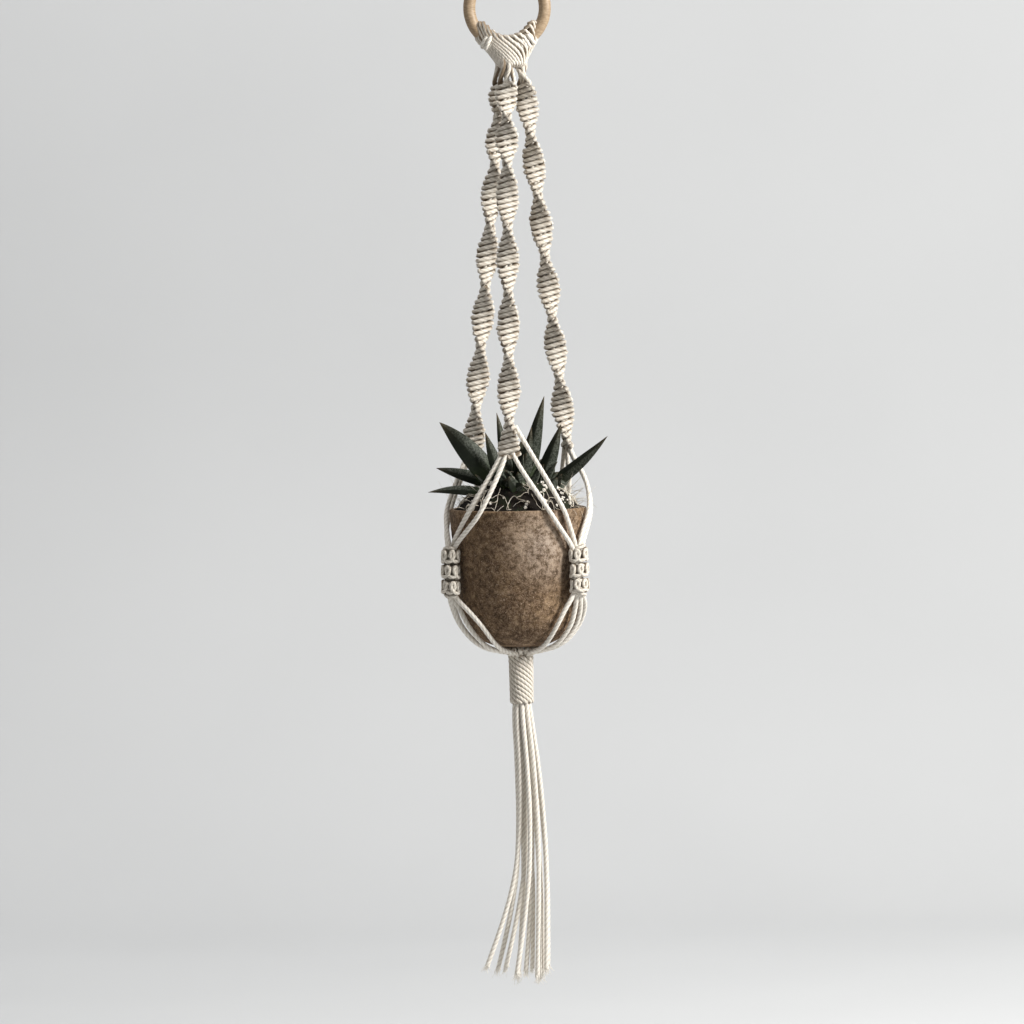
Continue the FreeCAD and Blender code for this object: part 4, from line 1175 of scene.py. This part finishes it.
def blade(start, bend, point, width, front_share, bias):
    """Points, faces and run of one leaf; its face is folded along a line off its middle."""
    points, run = [], []
    for ring in range(LEAF_RINGS + 1):
        share = ring / LEAF_RINGS
        rest = 1 - share
        centre = start * rest ** 2 + bend * (2 * rest * share) + point * share ** 2
        along = ((bend - start) * rest + (point - bend) * share).normalized()
        level = along.cross(Vector((0, 0, 1))).normalized()
        up = level.cross(along).normalized()
        side = along.cross(up * (1 - front_share) + Vector((0, -1, 0)) * front_share).normalized()
        face = side.cross(along).normalized()
        half = width * MM / 2 * leaf_width(share) + 0.12 * MM
        for column in range(LEAF_SIDES):
            angle = 2 * math.pi * column / LEAF_SIDES
            across, lift = math.cos(angle), math.sin(angle)
            # The face is raised to a blunt fold and the back is keeled below it.
            fold = max(0.0, 1 - abs(across - bias) / (1 + abs(bias)))
            thick = (0.10 + 0.26 * fold) if lift > 0 else 0.46
            offset = side * (half * across) + face * (half * thick * lift)
            bumps = 0.12 * MM * noise.noise((centre + offset) * 260.0)
            points.append(centre + offset + face * bumps)
            run.append((share, across - bias, lift))
    return points, tube_faces(LEAF_RINGS + 1, LEAF_SIDES), run


def leaf_object(name, points, faces, run):
    piece = mesh_object(name, points, faces, leaf_green)
    attribute = piece.data.attributes.new("leaf_run", "FLOAT_VECTOR", "POINT")
    attribute.data.foreach_set("vector", np.array(run, np.float32).ravel())
    hand_over(piece, "leaf", "pot")
    return piece


def make_leaf(name, base, middle, tip, width, front_share):
    start = polar(base[0], base[1], 0)
    start.z = ground(start.x, start.y) - 5 * MM
    rng = random.Random(name)
    piece = leaf_object(name + "_blade", *blade(start, polar(*middle), polar(*tip), width, front_share,
                                                 rng.uniform(-0.25, 0.05)))
    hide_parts(name)


def young_leaves():
    """Short young leaves and old stubs that fill the middle of the rosette."""
    rng = random.Random("young")
    points, faces, run = [], [], []
    for number in range(YOUNG_LEAVES):
        azimuth = rng.uniform(-180, 180)
        radius = rng.uniform(2, 34)
        start = polar(radius, azimuth, 0)
        start.z = ground(start.x, start.y) - 3 * MM
        reach = rng.uniform(5, 14)
        height = rng.uniform(12, 34) * (1.15 - radius / 48)
        azimuth += rng.uniform(-25, 25)
        bend = polar(radius + reach * 0.45, azimuth, start.z / MM + height * 0.7)
        point = polar(radius + reach, azimuth, start.z / MM + height)
        some, more, other = blade(start, bend, point, rng.uniform(6.5, 11.5), rng.uniform(0.3, 0.95),
                                  rng.uniform(-0.3, 0.1))
        faces += [tuple(index + len(points) for index in face) for face in more]
        points += some
        run += other
    leaf_object("young_leaves", points, faces, run)


for leaf_name, leaf_places in LEAVES.items():
    make_leaf(leaf_name, *leaf_places)
young_leaves()

# ---------------------------------------------------------------- stage and light


def stage_material():
    n = Nodes("stage_paper", 0.95, Specular_IOR_Level=0.1)
    tone = n.noise(n.position(), 2.0, 2.0)
    n.colour(n.ramp(tone, [(0.3, (0.60, 0.61, 0.62)), (0.7, (0.625, 0.635, 0.645))]))
    return n.material


def make_stage():
    """A pale floor that curves up into a backdrop behind the object."""
    floor, wall, bend, half = -0.93, 1.6, 0.6, 4.0
    outline = [(-7.0, floor), (wall - bend, floor)]
    outline += [(wall - bend + bend * math.sin(a), floor + bend - bend * math.cos(a))
                for a in np.linspace(0.1, math.pi / 2, 16)]
    outline += [(wall, 3.0)]
    points = [Vector((x, y, z)) for y, z in outline for x in (-half, half)]
    faces = [(2 * i, 2 * i + 1, 2 * i + 3, 2 * i + 2) for i in range(len(outline) - 1)]
    mesh_object("stage", points, faces, stage_material())


def area_light(name, place, aim, energy, size, colour=(1.0, 1.0, 1.0)):
    data = bpy.data.lights.new(name, "AREA")
    data.energy, data.size, data.color = energy, size, colour
    lamp = bpy.data.objects.new(name, data)
    bpy.context.collection.objects.link(lamp)
    lamp.location = place
    lamp.rotation_euler = (Vector(place) - Vector(aim)).to_track_quat("Z", "Y").to_euler()


make_stage()
area_light("key", (1.65, -0.85, 0.62), (0, 0, -0.42), 74.0, 0.5, (1.0, 0.985, 0.955))
area_light("fill", (-1.4, -1.8, 0.2), (0, 0, -0.45), 1.5, 1.6, (1.0, 0.97, 0.92))
area_light("backdrop", (-0.8, 0.35, 1.9), (-0.5, 1.5, -0.3), 33.0, 2.4)

world = bpy.data.worlds.new("world")
bpy.context.scene.world = world
world.use_nodes = True
world.node_tree.nodes["Background"].inputs["Color"].default_value = (1.0, 0.97, 0.93, 1.0)
world.node_tree.nodes["Background"].inputs["Strength"].default_value = 0.17
bpy.context.scene.view_settings.view_transform = "Standard"
